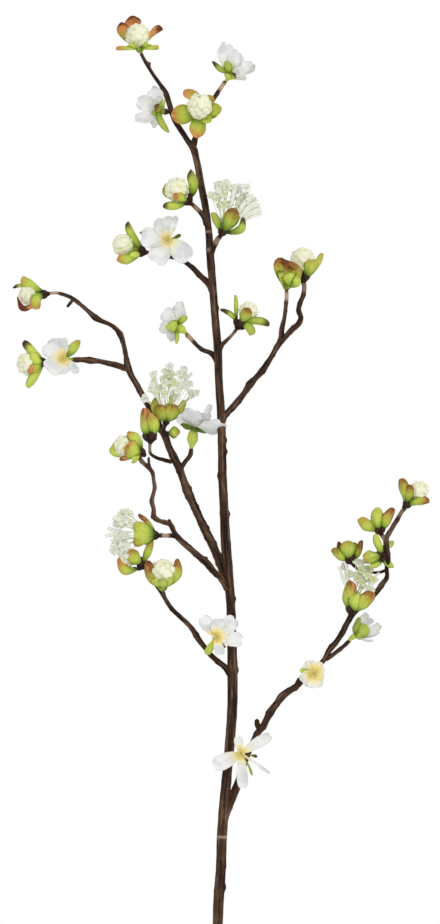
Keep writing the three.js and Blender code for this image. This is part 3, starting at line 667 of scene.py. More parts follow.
def vaseProfile():
    # Radius and height of the outline: a smooth curve up the outer wall, a round lip and a smooth curve
    # inside.
    v = vaseLook
    foot, belly, neck, lip = (v[part + "Radius"] for part in ("foot", "belly", "neck", "lip"))
    wall = v["wall"]
    low = (belly * v["lowBelly"][0], v["lowBelly"][1])
    shoulder = (belly * v["shoulder"][0], v["shoulder"][1])
    flare = (neck + v["flare"][0], v["neckHeight"] - v["flare"][1])
    outside = [
        (foot, 2.0), low, (belly, v["bellyHeight"]), shoulder, flare, (neck, v["neckHeight"]),
        (neck, rim - v["lipHeight"]), (lip, rim - 3.5),
    ]
    inside = [
        (neck - wall, rim - 3.5), (neck - wall, v["neckHeight"]), (flare[0] - wall, flare[1]),
        (shoulder[0] - 1.15 * wall, shoulder[1] - 1), (belly - wall, v["bellyHeight"]),
        (low[0] - 1.1 * wall, low[1] + 2), (foot - wall, v["floor"] + 3), (foot - wall - 3, v["floor"]),
    ]
    over = [
        (lip - 0.2, rim - 2.0), (lip - 1.1, rim - 0.7), (lip - 2.6, rim), (neck - wall + 2, rim),
        (neck - wall + 0.6, rim - 0.8),
    ]
    ring = foot - v["footRing"]
    under = [
        (8.0, v["recess"]), (ring - 1.5, v["recess"]), (ring, 0.4), (ring + 1, 0.0), (foot - 1.6, 0.0),
        (foot - 0.5, 0.6),
    ]
    outside, inside = (smoothPath(np.array(side, float), 2.0)[0] for side in (outside, inside))
    return np.concatenate([under, outside, over, inside, [(8.0, v["floor"])]])


def makeVase():
    # The profile turned round. Its radius follows a wave that winds up it as throwing rings do.
    radius, height = np.split(vaseProfile(), 2, axis=1)
    turn = fullTurn(vaseLook["sides"])
    waves = np.sin(height * 0.9 + turn + 0.6 * np.sin(height / 11))
    radius = radius + vaseLook["throwing"] * waves * ((height > 6) & (height < rim - 6))
    rings = xyz(radius * np.cos(turn), radius * np.sin(turn), height - rim)
    ends = np.array([(0, 0, vaseLook["recess"] - rim), (0, 0, vaseLook["floor"] - rim)])
    skins = Skins()
    skins.add(rings[None], ends[None], np.zeros(3), np.zeros(3))
    addPiece("glazed_vase", skins, "glaze", ["vase"])


makeVase()
print("vase made")


# The wood. A point of a route is (x, y, height, radius), from where the stem starts to its tip.

routes = {
    "main_stem": [
        (10, 0, 22, 4.6), (10.7, 0, 43, 4.7), (12.8, 0, 71, 4.4), (13.7, 0, 97, 4.3), (16, 0, 127.5, 4.6),
        (18.2, 0, 154.5, 4.3), (20.5, -1, 180.5, 4.4), (22.7, -2, 212, 4.4), (22.8, -2, 241.5, 4.4),
        (22.3, -1, 269, 4), (21.4, 0, 299.5, 4), (19.2, 1, 328.5, 4.4), (17, 2, 353.5, 4.4),
        (15.5, 3, 382, 3.8), (14.1, 3, 412.5, 3.8), (13.8, 2, 438, 3.7), (13, 1, 465, 3.8),
        (11, 0, 495.5, 3.4), (10.2, 0, 521.5, 3.6), (7.8, -1, 549, 3.3), (5.6, -2, 577, 3.4),
        (3.5, -3, 603, 3.6), (2.2, -3, 624, 3.1), (-0.5, -2, 645, 3.1), (-4.8, -1, 667.5, 3),
        (-8, 0, 685, 2.9), (-11.8, 1, 698, 3.1), (-16.3, 1.5, 704, 2.4), (-19.7, 2, 709.5, 2.4),
        (-23, 2.5, 714.5, 2.4), (-26.7, 3, 720, 2.3), (-29.3, 3.5, 726, 2.3), (-31, 4, 732, 2.4),
        (-33, 4, 739, 2.5), (-35.2, 3, 745, 2.6), (-40, 1, 752.5, 1.8), (-46.5, -2, 761.5, 1.6),
        (-51.5, -4, 769.5, 1.6), (-55, -5, 775.5, 1.5), (-57, -6, 779.5, 1.5),
    ],
    "twig_02": [
        (-11.5, 1, 698, 2.4), (-9, 2, 708, 2.3), (-6.3, 4, 720, 2.1), (0.2, 5, 731.5, 2), (6.8, 6, 741.4, 2),
        (11.3, 6, 748.3, 1.9), (17, 6, 756.5, 1.8),
    ],
    "twig_05": [(1, -3, 629, 2.1), (-2.5, -6, 637.5, 2.3), (-7.2, -9, 642.9, 2), (-13, -13, 648, 1.9)],
    "twig_06": [(3.5, -3, 603, 2.2), (7, -6, 611.5, 2.4), (10, -9, 617, 2.3), (13, -12, 620.5, 2.1)],
    "twig_07": [
        (7, -2, 570, 2.2), (0.5, 0, 580.5, 2.5), (-6.5, 3, 587.5, 2.5), (-11.5, 6, 593, 2.3),
        (-17, 9, 597.5, 2), (-25.5, 12, 602, 1.8), (-36, 13, 604, 1.6), (-46.5, 10, 606.5, 1.5),
        (-53, 6, 607, 1.6),
    ],
    "twig_11": [
        (10.6, 0, 509, 2), (4.2, 3, 518.7, 2.2), (-3.2, 7, 521.9, 2), (-8.6, 11, 526.4, 1.8),
        (-13.5, 14, 531.9, 2), (-18, 17, 536, 1.9),
    ],
    "twig_12": [
        (10.5, 0, 519.5, 2), (14, -3, 526, 2), (18.7, -7, 530.4, 1.5), (22.9, -10, 534.6, 1.4),
        (26.5, -13, 539, 1.4),
    ],
    "lower_right_branch": [
        (15.2, 0, 111, 2.4), (23, 1, 132.5, 3.5), (26.5, 3, 141, 3.5), (30.5, 6, 152, 2.8),
        (35, 7, 166, 2.6), (40, 3, 178.5, 2.5), (45.4, -2, 189.3, 2.9), (49.5, -5, 194.5, 3.2),
        (52.6, -8, 201, 2.9), (56, -10, 207.6, 3.6), (61.2, -12, 215, 2.7), (65.5, -14, 221, 3.5),
        (71.2, -16, 225.7, 2.9), (77.6, -18, 229.9, 2.7), (85.5, -19, 237.5, 2.2), (94, -21, 245.5, 2.1),
        (101, -24, 252.5, 1.9), (106.2, -28, 262.2, 2.5), (112.5, -31, 270, 2.4), (117.5, -33, 278, 2.5),
        (121.7, -34, 286.4, 2.5), (128, -33, 295, 2.2), (137.5, -34, 303, 2), (145.6, -38, 311.3, 2.1),
        (150.6, -41, 318.8, 2.5), (154.8, -44, 325.5, 1.9), (154.5, -46, 333.5, 1.7), (155.3, -47, 343, 2.6),
        (154, -49, 351.5, 2.5), (154, -51, 358.5, 2.2), (158.6, -54, 367.4, 1.9), (163.2, -56, 375.3, 1.9),
        (167, -58, 382, 1.7), (170, -60, 385.5, 1.8),
    ],
    "twig_27": [
        (102.5, -24, 253.5, 1.8), (107.5, -24, 256.5, 1.8), (113.7, -24, 261.2, 1.8),
        (119.8, -25, 266.2, 1.7), (124.3, -26, 270.8, 1.6),
    ],
    "twig_28": [(121.5, -34, 285.5, 1.7), (123, -38, 291, 1.8), (124, -41, 294, 2)],
    "twig_29": [
        (154.5, -46, 331.5, 1.3), (146.5, -37, 329, 1.2), (135.5, -33, 330.5, 1.2), (128, -37, 334, 1.2),
        (124, -41, 338, 1.3),
    ],
    "twig_30": [(154.5, -49, 354, 1.8), (152, -51, 359, 1.7), (148.5, -53, 364, 1.6)],
    "stub_1": [(46.5, -4, 190.5, 1.8), (44.5, -5, 195.5, 2.2), (44, -6, 201, 2.1)],
    "stub_2": [(77, -18, 229.5, 1.4), (78.5, -20, 234, 1.2), (80, -21, 238, 0.9)],
    "lower_left_branch": [
        (22.5, -2.5, 237, 2.4), (16.5, -5, 245.5, 2.5), (9.3, -9, 251.8, 2.4), (3.9, -12, 256.9, 2.3),
        (-0.2, -15, 262.4, 2.2), (-4.8, -18, 268.3, 2.3), (-8.5, -21, 274, 2.8), (-12, -23, 280, 2.1),
        (-16.7, -26, 285.3, 2.1), (-22.8, -30, 291.2, 2), (-28.8, -34, 297.2, 2), (-32.8, -37, 302.9, 1.9),
        (-35.7, -39, 308.4, 1.8), (-37, -40, 313.5, 1.7),
    ],
    "twig_22": [
        (-35, -38, 306.5, 1.4), (-40.5, -31, 314, 1.3), (-46, -25, 321.5, 1.3), (-51, -22, 329.5, 1.3),
        (-54.5, -22, 333.5, 1.4),
    ],
    "middle_left_branch": [
        (19.5, -1, 312, 2.4), (11.5, -4, 324.3, 2.6), (5.8, -8, 329.8, 2.9), (0.2, -12, 336.8, 3.2),
        (-5.2, -15, 341.3, 2.9), (-11.2, -19, 346.8, 2.6), (-17.8, -23, 352.7, 2.6),
        (-23.8, -27, 358.6, 2.4), (-27.8, -29, 364.3, 2), (-30.8, -31, 370.2, 2.3), (-34.7, -32, 372, 2.1),
        (-39.6, -33, 373.3, 1.9), (-44.7, -34, 376.8, 2.5), (-45, -35, 383.5, 1.9), (-46.6, -36, 390.5, 2.1),
        (-45.3, -36, 396.5, 1.7), (-44.1, -35, 401.5, 1.9), (-45, -34, 408.5, 1.6), (-46.3, -32, 415.3, 1.9),
        (-50.5, -30, 420, 1.8), (-55.8, -27, 425.2, 1.9), (-58, -26, 428.5, 1.8),
    ],
    "twig_21": [(-25, -27, 360, 1.9), (-30, -30, 360.8, 1.8), (-36, -34, 360.7, 1.7), (-41, -37, 361, 1.9)],
    "stub_3": [(-44.5, -34, 377, 1.6), (-47.5, -36, 377.5, 1.3)],
    "stub_4": [(-31, -31, 370.5, 1.7), (-32, -32, 375, 1.4)],
    "stub_5": [(-2, -12, 337.5, 2), (1, -13, 342, 1.3)],
    "large_left_branch": [
        (18.8, 2, 317, 2.8), (11.8, 4, 336, 3.6), (6.6, 7, 349.3, 3.8), (0, 11, 363, 4),
        (-6.1, 15, 375.7, 3.6), (-11.6, 19, 387.7, 3.6), (-16.7, 23, 399.2, 4.2), (-20, 26, 407.8, 3.2),
        (-23.2, 29, 416.9, 3.3), (-28.2, 31, 427.4, 3.5), (-32.9, 33, 436.9, 2.9), (-36.5, 34, 447, 3.2),
        (-41, 35, 455, 3), (-46, 37, 464.5, 2.8), (-51.7, 39, 474.4, 2.7), (-57.3, 41, 484.3, 2.7),
        (-61.9, 43, 492.8, 2.6), (-66.5, 44, 500.7, 2.7), (-69.7, 45, 509, 3.2), (-71.3, 47, 518.5, 2.1),
        (-73.5, 50, 528.5, 2.1), (-76.4, 52, 536.8, 2.7), (-80.8, 54, 542.7, 1.9), (-86.7, 56, 546.7, 1.8),
        (-93.7, 58, 549.6, 2.1), (-98.6, 59, 552.3, 3), (-104.2, 60, 557.3, 1.9), (-110.6, 60, 562.8, 1.7),
        (-115.7, 59, 567, 1.9), (-121.8, 58, 570.9, 1.7), (-127.7, 57, 573, 1.7), (-133, 56, 574.2, 1.4),
        (-138, 55, 574, 1.3), (-141.5, 54, 573.5, 1.6),
    ],
    "left_fork": [
        (-67.5, 45, 505.5, 2.2), (-78.2, 43, 509.1, 2.8), (-87.1, 41, 511.3, 2.4), (-95, 39, 513, 2.2),
        (-102, 37, 513.5, 3.2), (-108.5, 34, 514, 2.4), (-115.5, 31, 514, 2.1), (-127, 32, 513, 1.5),
        (-136, 32, 512, 1.5), (-141.5, 31, 512, 1.6),
    ],
    "stub_6": [(-117.8, 58, 569.3, 1.2), (-120.6, 56, 565.6, 1.4), (-124, 54, 561.3, 1.2)],
    "twig_17": [(-23, 29, 418, 1.8), (-18.4, 26, 424.5, 1.9), (-14.6, 23, 429.3, 2), (-13, 20, 437, 1.7)],
    "twig_18": [
        (-30, 31, 424, 1.7), (-37, 27, 425.7, 1.7), (-44.2, 23, 428, 1.6), (-48.8, 20, 431.3, 1.4),
        (-49.5, 18, 438, 1.4), (-49, 17, 442.5, 1.8),
    ],
    "twig_16": [(-40, 34, 450.5, 1.9), (-37.5, 30, 454.5, 1.9), (-36, 27, 457.5, 2)],
    "twig_20": [(-36.5, 34, 443.5, 1.5), (-34.5, 31, 447, 1.3), (-33, 29, 449, 1.2)],
    "right_branch": [
        (13.5, 1, 457, 2.1), (17, 4, 465, 2.5), (23, 8, 471.6, 3), (29.2, 12, 479, 3),
        (33.9, 15, 485.4, 2.6), (39.3, 18, 493.4, 3.5), (43.6, 20, 498, 2.4), (49.5, 23, 504.6, 3.1),
        (54.1, 26, 511.6, 2.5), (58.1, 29, 518, 2.1), (61.9, 32, 525, 2.5), (65.6, 34, 531, 2.9),
        (66.4, 33, 540.5, 2.3), (68.5, 31, 550, 1.8), (69.7, 29, 559.4, 1.7), (70.5, 27, 568, 1.8),
        (70.5, 25, 576, 1.6),
    ],
    "right_fork": [
        (64.5, 33, 529, 2.3), (70.2, 35, 534.8, 2.3), (76.1, 37, 541.3, 2.7), (81.4, 39, 546.1, 2.5),
        (83.4, 40, 550.5, 2.4), (81.5, 41, 558.5, 2.2), (82.9, 41, 564.5, 2.1), (85.8, 41, 572.5, 2),
        (86.4, 41, 578.5, 2), (85.5, 41, 584, 1.9),
    ],
    "stub_7": [(-47.3, -31.5, 416.3, 1.3), (-49.2, -27, 423, 1.2), (-49.6, -21, 428.3, 1)],
}

# The short twigs and stubs that belong to the node of a stem
twigNodes = {
    "main_stem": ["twig_02", "twig_05", "twig_06", "twig_11", "twig_12"],
    "lower_right_branch": ["twig_27", "twig_28", "twig_29", "twig_30", "stub_1", "stub_2"],
    "lower_left_branch": ["twig_22"],
    "large_left_branch": ["twig_16", "twig_17", "twig_18", "twig_20", "stub_6"],
    "middle_left_branch": ["twig_21", "stub_3", "stub_4", "stub_5", "stub_7"],
}
hiddenFoot = [(-4.8, 0, -231.4, 4.2), (1.8, 0, -119, 4.2), (8.5, 0, -7, 4.2)]

barkShape = {
    "step": 1.1, "sides": 22, "twigSides": 16, "fluting": 0.024, "collar": 0.45, "twigShade": 0.45,
    "joint": (6.2, 3.8),  # how far below a stem's tip its pale stretch lies, and half how long that is
    # how pale the stretch below each stem's tip is: tan at a joint, and on large_left_branch and twig_18
    # partly a painted highlight
    "joints": {  # how pale it is
        "twig_02": 1.0, "twig_05": 0.5, "twig_06": 0.55, "twig_07": 0.3, "twig_11": 0.95, "twig_12": 0.35,
        "twig_18": 0.5, "twig_21": 0.8, "twig_30": 0.5, "large_left_branch": 1.0, "left_fork": 0.2,
        "right_branch": 1.0, "right_fork": 0.4, "middle_left_branch": 0.25, "lower_right_branch": 0.35,
    },
    "stemScars": {"spacing": 21.0, "wide": 1.8, "out": 0.1},
    "twigScars": {"spacing": 8.0, "wide": 1.2, "out": 0.26},
    "knots": [  # x, y, height, how far it stands out, how wide it is
        (17.0, -1, 54, 1.6, 2.0), (28, -2, 243, 1.5, 1.8), (24.5, -1, 305, 1.4, 1.8), (21, 2, 379, 1.6, 1.7),
        (18, 1, 433, 1.5, 1.6), (18, 1, 443, 1.3, 1.6), (11.5, -1, 558, 1.2, 1.5), (9, 3, 412, 1.5, 1.8),
        (20, -5, 96, 1.2, 2.5), (-49.4, -4, 770, 2.2, 1.3),
    ],
    "rings": [(98, 0.65, 0.85), (608, 1.1, 0.4), (624, 0.6, 0.55)],  # height, how wide, how pale
    "apart": 0.7,  # from one stem's pattern to the next one's
}


def makeWood():
    # One tube for each route. The main stem goes on down to the vase's floor.
    nodeOf = {twig: stem for stem, twigs in twigNodes.items() for twig in twigs}
    shape = barkShape
    for number, (name, route) in enumerate(routes.items()):
        small = name.startswith(("twig", "stub"))
        extras = {"scars": shape["twigScars"], "collar": shape["collar"]}
        if name == "main_stem":
            route = hiddenFoot + route
            extras = {"scars": shape["stemScars"], "knots": shape["knots"], "rings": shape["rings"]}
        skins = Skins()
        tube(
            skins, route, shape["step"], shape["twigSides" if small else "sides"],
            (0, 0, shape["twigShade"] if small else 0), shape["fluting"],
            own=number * shape["apart"], joint=(shape["joints"].get(name, 0.0), *shape["joint"]), **extras,
        )
        addPiece(name + "_bark", skins, "bark", [nodeOf.get(name, name)], "grainPlace")


makeWood()
print("wood made:", len(routes), "stems and twigs")


# The blossoms. seat is where one meets its stem, and everything else in its entry counts from there.
#   ball     a round head of unopened florets among splayed bracts
#   bud      bracts still folded round the florets
#   froth    a cloud of small open florets over its bracts
#   flower   petals standing up out of a green cup
#   open     petals spread flat round a yellow middle
# head is (x, y, z, radius). leaves are bracts or sepals, (x, y, z, width, blush) at the tip, and where one
# is bent on its own way, the point halfway along it too. A blush below nothing is a burnt tip. petals are
# (x, y, z, width), florets (x, y, z, size, greenness) and strokes, single long petals among them, (x, y, z,
# width). centre is where a flower's petals meet.
# cup is the size of the cup, green is set where it is green instead of brown, and brown is how much further
# up its brown reaches. deep is how deep the green of bracts is, lighter below nothing, dark how deep that
# of sepals is, and base how slim both are at the root. axis is the way that a bud points, faces the way
# that a spread flower looks, glow how far its yellow reaches from its middle, and warmth how strong that
# is.

blossoms = {
    "bud_01": dict(
        kind="ball", seat=(-57.5, -6, 781), cup=0.85, base=1.5, deep=-0.12, green=1,
        head=(-2, -2, 12.5, 10.7),
        leaves=[(-7, 3, 31, 15, 0.85, -6, 10, 19), (-15.8, -3, 24.5, 13.5, 0.85, -16, 2, 14),
            (19.8, -3, 19, 9, 0.95, 9, -3, 11.5), (-20.5, -9, 0, 6, 0.5, -9, -10, 0),
            (16.8, -9, 1, 6, 0.3, 7, -10, 0.2), (-9, -10, 4, 7, 0.1), (8, -10, 4.5, 7, 0.1)],
    ),
    "flower_02": dict(
        kind="flower", seat=(18.5, 6, 758), cup=1.2, dark=0.25, base=0.7, centre=(2.5, -1, 4.5),
        leaves=[(-1.7, -6, 15, 9, 0, 0, -7, 8), (-13.5, -2, 15, 7, -0.8, -6, -4, 7),
            (6.5, -5, 4.5, 8, -0.8, 4, -5, 1), (8, 6, 11, 6, 0.1)],
        petals=[(-1, 1, 31.5, 20), (9, -4, 24, 14), (23, 0, 13, 17), (15, -6, 2, 13), (8, 9, 25, 18)],
    ),
    "flower_03": dict(
        kind="flower", seat=(-33, -2, 728.5), cup=0.75, dark=0.3, brown=0.8, centre=(-6, -3, 0),
        leaves=[(1, -5, -18.5, 11, 0.1, -5.5, -7, -7), (-2.5, -4, 10.5, 10, 0, -4, -5, 5),
            (-14.5, -6, -1, 8, 0.2), (-10, -9, 6, 9, 1, -8, -8, 3), (-8, 5, -8, 6, 0.1)],
        petals=[(-15, 1, 20, 15), (-10, -5, 12, 12), (-27, -3, 9, 15), (-29, -2, -6, 11), (-14, 3, -12, 12)],
    ),
    "bud_04": dict(
        kind="ball", seat=(-5.5, -3, 728), deep=-0.1, head=(0, -14, 3.5, 11),
        leaves=[(-25, -8, -3.8, 17.5, 0.5), (-3, -7, -23.3, 14.5, 0.6),
            (-14.5, -9, 14.8, 9.5, 0.64, -4.5, -8, 12.6), (19, -9, 2.5, 12, 0.2), (11.5, -8, 13, 11, 0.38),
            (9.5, -9, -9.5, 11, 0.1), (15, -6, -4, 11, 0.1)],
    ),
    "bud_05": dict(
        kind="ball", seat=(-14.5, -14, 649), cup=1.4, head=(-11, -1, 10.5, 10.5),
        leaves=[(0.5, 0, 27.5, 14, -0.5, 6, -3, 15), (-23, -3, -4.5, 10.5, -0.6, -12, -5, -5.5),
            (-14, -11, 5, 9, 0.58, -7, -10, 2), (-20, 5, 17, 7, 0.1, -19, 7, 7)],
    ),
    "cluster_06": dict(
        kind="froth", seat=(13.5, -13, 621.5), deep=0.26, cup=1.0, head=(10, 0, 30, 18),
        leaves=[(11.5, -7, 22, 14, 0.62, 8, -8, 10), (19.3, -4, 14, 10, -0.7, 17, -6, 2),
            (-9, 0, 18.5, 9, 0, -5, 0, 9), (5, 9, 17, 9, 0.3)],
        florets=[(0, 0, 40, 7, 0.2), (-3.5, -2, 33, 6, 0.5), (4, -2, 35, 7, 0.4), (0, -1, 27, 6, 0.7),
            (10, 0, 38, 7, 0.1), (18, -2, 37, 7, 0), (25, 0, 30, 7, 0), (19, 4, 31, 7, 0.1),
            (5, 4, 29, 6, 0.6)],
        strokes=[(35, 0, 21, 6), (33, -2, 27, 7), (29, -2, 33, 7), (24, 0, 38, 7), (-6, -3, 42, 4),
            (1, -2, 44, 4), (11, -3, 43, 5), (36, 1, 17, 3)],
    ),
    "bud_07": dict(
        kind="ball", seat=(-54.5, 6, 607), cup=1.35, deep=-0.12, head=(-18, -1, 6.3, 9.6),
        leaves=[(-14, -1, 26.5, 10, -0.5, -7, -3, 13), (-23.3, -4, -7.5, 13, 0.5, -14, -7, -8.6),
            (-20, 9, 9, 10, 0.2), (-12, -8, -4, 8, 0.1)],
    ),
    "flower_08": dict(
        kind="open", seat=(-30, 9, 604), glow=9, dark=0.7, base=1.2, centre=(-3, -13, 13.5),
        faces=(-0.1, -0.97, 0.2),
        leaves=[(8, -8, 18, 3.5, 1, 3.5, -8, 15.5), (-3.5, -8, -4, 4, 1), (16, -7, 3.5, 3, 0.6, 8, -6, 6),
            (-28, -6, 20, 4, 0.6, -15, -6, 17)],
        petals=[(-8, -8, 33, 19), (4.5, -12, 34, 6), (15.5, -11, -4, 18), (-15, -12, -7, 19),
            (-27, -9, 16, 18)],
    ),
    "bud_09": dict(
        kind="ball", seat=(85.5, 41, 585), cup=1.7, deep=0.08, head=(-0.5, 1, 17, 11.5),
        leaves=[(17.5, 0, 23.5, 7, 0.3, 11.5, -2, 10.5), (8, -11, 17.5, 14, 0.3, 7, -9, 9),
            (-9, 3, 12, 8, 0.2)],
    ),
    "bud_10": dict(
        kind="bud", seat=(70.5, 25, 577), green=1, cup=1.0, base=0.42, deep=0.03,
        leaves=[(2, -4, 23.5, 10, 0.95, -8, -5, 20), (-5, -9, 22, 6.5, 0.85, 9.5, -9, 13.5),
            (-6.5, -4, 14.8, 8.5, -0.4, -4.5, -5, 6), (11, -6, 10.5, 12, 0, 9.5, -8, 2),
            (9.5, -3, 17.5, 9, 0.3, 8.5, -5, 9), (4, -9, 12.5, 15, 0), (0, 3, 24.5, 18, 0.75)],
    ),
    "flower_11": dict(
        kind="flower", seat=(-19, 17.5, 538), centre=(-6, 3, 5),
        leaves=[(-16.5, -5, 4.5, 12, 0, -8, -7, 4), (1, -4, 14, 9, 0), (-7.5, -4, -11, 6.5, 0),
            (-8, 6, 9, 6, 0.1)],
        petals=[(-4, 3, 27, 13), (-18.5, 1, 18, 15), (-22, 0, 4, 12), (-14, 3, -7, 10), (-11, 10, 20, 14)],
    ),
    "bud_12": dict(
        kind="ball", seat=(28, -13.5, 541.5), cup=1.75, deep=0.18, brown=0.1, head=(8.5, 0, 13, 8.3),
        leaves=[(-3, 1, 27.5, 5.5, 0.2, -3, 0, 15), (-16, -1, 14, 6.5, -1, -7, -2, 9),
            (8.5, -11, 15.5, 10, 0.6, 5.5, -10, 8), (26.5, -3, 0, 10, -0.6, 13, -4, 3),
            (10, -7, -8.5, 12, 0.15, 7, -7, -2)],
    ),
    "bud_13": dict(
        kind="ball", seat=(-142.5, 54, 573), cup=1.1, deep=-0.1, head=(-15.5, 0, -1, 8.8),
        leaves=[(-21, -1, 15.5, 11, 0.3, -11.5, -3, 8.5), (-29.5, 1, 5.5, 5, -0.8, -20, 2, 8.5),
            (-25, -8, -2.5, 5.5, 1.5, -18, -9, -13.5), (-6, -5, -13.5, 12, 0.42, -6.5, -7, -5)],
    ),
    "bud_14": dict(
        kind="ball", seat=(-142.5, 31, 512), cup=1.2, deep=-0.12, head=(-14, 0, -1.5, 10.5),
        leaves=[(-18, -2, 19, 10, -0.7, -8, -4, 9), (-14.5, -2, -23, 10, 0.1, -6.5, -4, -12),
            (-14, -9, -9.5, 9, 0.75, -7, -8, -6), (-10, -9, 8, 10, 0, -5, -8, 1)],
    ),
    "flower_15": dict(
        kind="open", seat=(-117.5, 30, 514.5), glow=9, warmth=0.95, centre=(-8, -6, 1),
        faces=(-0.2, -0.98, 0),
        leaves=[(6.5, -3, 16.5, 9, 0.3), (-14, -3, 17, 3.5, 1, -11, -2, 14), (5, -4, -12, 7, 0)],
        petals=[(-23, -8, 14, 19), (-9.5, -7, 19, 12), (-22, -10, -11, 18), (-9, -9, -14, 14),
            (5, -7, -12, 8)],
    ),
    "cluster_16": dict(
        kind="froth", seat=(-35.5, 27, 458), cup=0.8, deep=0.16, head=(3, -6, 34, 22),
        leaves=[(-9, -2, 22.5, 10, 0.3, -10.5, -3, 11), (-5, -10, 16.5, 17, 0.48, -5, -8, 6),
            (8, -10, 16.5, 16, 0.44, 6, -8, 6), (17, -1, 20.5, 9, 0.2, 12, -2, 9), (3, 9, 18, 11, 0.2),
            (5, -6, 24, 4, 0.1, 4, -6, 15)],
        florets=[(2, -4, 48, 6, 0), (10.5, -4, 45, 6, 0), (16, -3, 41, 6, 0.1), (-9.5, -4, 39, 6, 0.1),
            (-11, -4, 30, 6, 0), (-5, -8, 34, 6, 0.3), (-1, -7, 41, 6, 0.2), (6, -10, 38, 7, 0.7),
            (25, -3, 24, 5, 0), (14.5, -8, 31, 5.5, 0.1), (-7, -6, 25, 5.5, 0.5), (22, -4, 30, 5.5, 0.1),
            (-14, -5, 15, 6, 0)],
        strokes=[(-17, -2, 20, 3), (30, -1, 29, 4), (-13, -3, 42, 4), (24, -2, 45, 4), (4, -3, 54, 4),
            (9, -5, 30, 6), (11, -4, 27, 5)],
    ),
    "flower_17": dict(
        kind="flower", seat=(-13, 20, 437.5), cup=1.28, dark=0.9, centre=(2, -2, 15),
        leaves=[(-9.5, -8, 19, 9, 0.1, -3, -9, 16), (15.5, -8, 12, 9, 0.1, 9, -9, 13), (4, -12, 15, 9, 0.1),
            (2, 5, 17, 5, 0.1)],
        petals=[(-9, -4, 29, 17), (2, -12, 32, 18), (17, 4, 37, 6), (27, -26, 20.5, 18), (13, -7, 29, 17),
            (20, -6, 20, 13)],
    ),
    "bud_18": dict(
        kind="bud", seat=(-49, 17, 443.5), cup=1.7, deep=0.05, brown=0.08,
        leaves=[(-5.5, -3, 28, 14, 0.65, -6, -4, 13), (-1.5, -7, 23, 10.5, 0.45, 3.8, -8, 11.5),
            (-0.5, 2, 24, 13, 0.3)],
    ),
    "bud_19": dict(
        kind="ball", seat=(-54.5, -26, 431.5), cup=1.2, head=(-16.5, 0, 6.5, 9),
        leaves=[(-13, -3, 18.5, 13, 0.4, -3.5, -6, 13), (-15, -11, 6, 17, 0.5, -7, -11, 1.5),
            (-25, -2, 9, 5.5, 0.2, -24, 0, -1), (-20, -5, -5, 4.5, 1, -14, -6, -5),
            (-9, -8, -5.5, 11, 0.05)],
    ),
    "bud_20": dict(
        kind="bud", seat=(-34.8, 28.5, 449.2), cup=0.4, base=0.38,
        leaves=[(11.8, -4, 1.0, 10.5, 0.4, 6, -6, 1.2), (10.5, 1, 0, 10, 0.3, 5.5, 3, 0)],
    ),
    "cluster_21": dict(
        kind="froth", seat=(-42, -38, 361), cup=1.1, deep=0.1, head=(-32, 0, 2, 19),
        leaves=[(-16, 0, 18.5, 5.5, 0.9, -7, 0, 11.5), (-20, -7, 10, 13, 0.25, -10, -8, 6),
            (-19, -6, -9, 12, 0.4, -10, -8, -4), (-20, -9, 1, 12, 0.1, -10, -9, 1), (-15, 7, -3, 11, 0.2)],
        florets=[(-30, 0, 16, 8, 0.1), (-25, -3, 11, 7, 0.2), (-34, -2, 12, 7, 0.1), (-33, -3, -8, 8, 0.1),
            (-30, -4, -14.5, 7, 0.1), (-37, -2, -9, 7, 0), (-25, -5, -7, 6, 0.3), (-24, -2, 17, 6, 0.2)],
        strokes=[(-43, -1, 7, 4), (-45, -2, -1, 3.5), (-40, -3, -6, 5), (-38, -3, 17, 5)],
    ),
    "bud_22": dict(
        kind="ball", seat=(-54.5, -22, 334.5), cup=1.5, deep=-0.08, head=(-13.5, 0, 6.5, 8),
        leaves=[(8.5, -3, 23.5, 10, 0.45, 6, -5, 11), (-10, -10, 14.5, 13, 0.45, -5, -9, 7),
            (-21, -5, 7, 9, 0.6, -14.5, -6, -4.5), (-12, 7, 12, 9, 0.2)],
    ),
    "bud_23": dict(
        kind="ball", seat=(-37, -40, 315), green=1, deep=0.08, head=(0, -1, 15, 11),
        leaves=[(-14, -2, 25, 14, 0.85, -12.5, -4, 10), (12.5, -2, 26.5, 11.5, 0.6, 14, -3, 12),
            (-7, -9, 9, 9, 0.1), (8, -9, 10, 9, 0.15), (0, -12, 7, 9, 0.05), (0, 9, 17, 9, 0.3)],
    ),
    "flower_24": dict(
        kind="open", seat=(0.3, -20, 258), glow=8.5, cup=2.7, warmth=1.3, centre=(8.7, -6, 15.5),
        faces=(0.2, -0.96, 0.2),
        leaves=[(16.7, 0, 5.5, 3, 0.9, 12.7, -1, 9.5)],
        petals=[(-4.3, -4, 32.5, 12.5), (10.2, -10, 31.5, 12), (25.2, -6, 31.5, 14.5),
            (31.2, -8, 12.3, 13.5), (12, -12, -0.5, 9.5)],
    ),
    "flower_25": dict(
        kind="open", seat=(35, 6, 161.5), glow=9.5, base=2.6, dark=0.4, warmth=0.9, centre=(-5, -20, 10.5),
        faces=(0, -1, 0.05),
        leaves=[(9.5, -15, 7.2, 3, 1, 4, -12, 8), (5, -15, -9.5, 2.5, 0.1, 1, -13, 1)],
        petals=[(-28.5, -22, -1, 14), (-8, -19, 25, 8), (21, -22, 26.5, 10), (21, -20, -7.5, 3),
            (-3, -28, -19.5, 10)],
    ),
    "flower_26": dict(
        kind="open", seat=(91.5, -22, 243), glow=11, warmth=1.0, centre=(1.5, -8, -0.5), faces=(0, -1, 0),
        leaves=[(-11, -6, 2, 4, 0.1, -7, -5, 1), (8, -4, -10, 4, 0.1)],
        petals=[(-9, -6, -9, 13), (3, -9, -13.5, 14), (10.5, -5, -1, 13), (3, -3, 9.5, 14), (-8, -4, 6, 13)],
    ),
    "flower_27": dict(
        kind="flower", seat=(125, -26.5, 272), cup=0.65, dark=0.3, base=0.8, centre=(3.5, -1, 3),
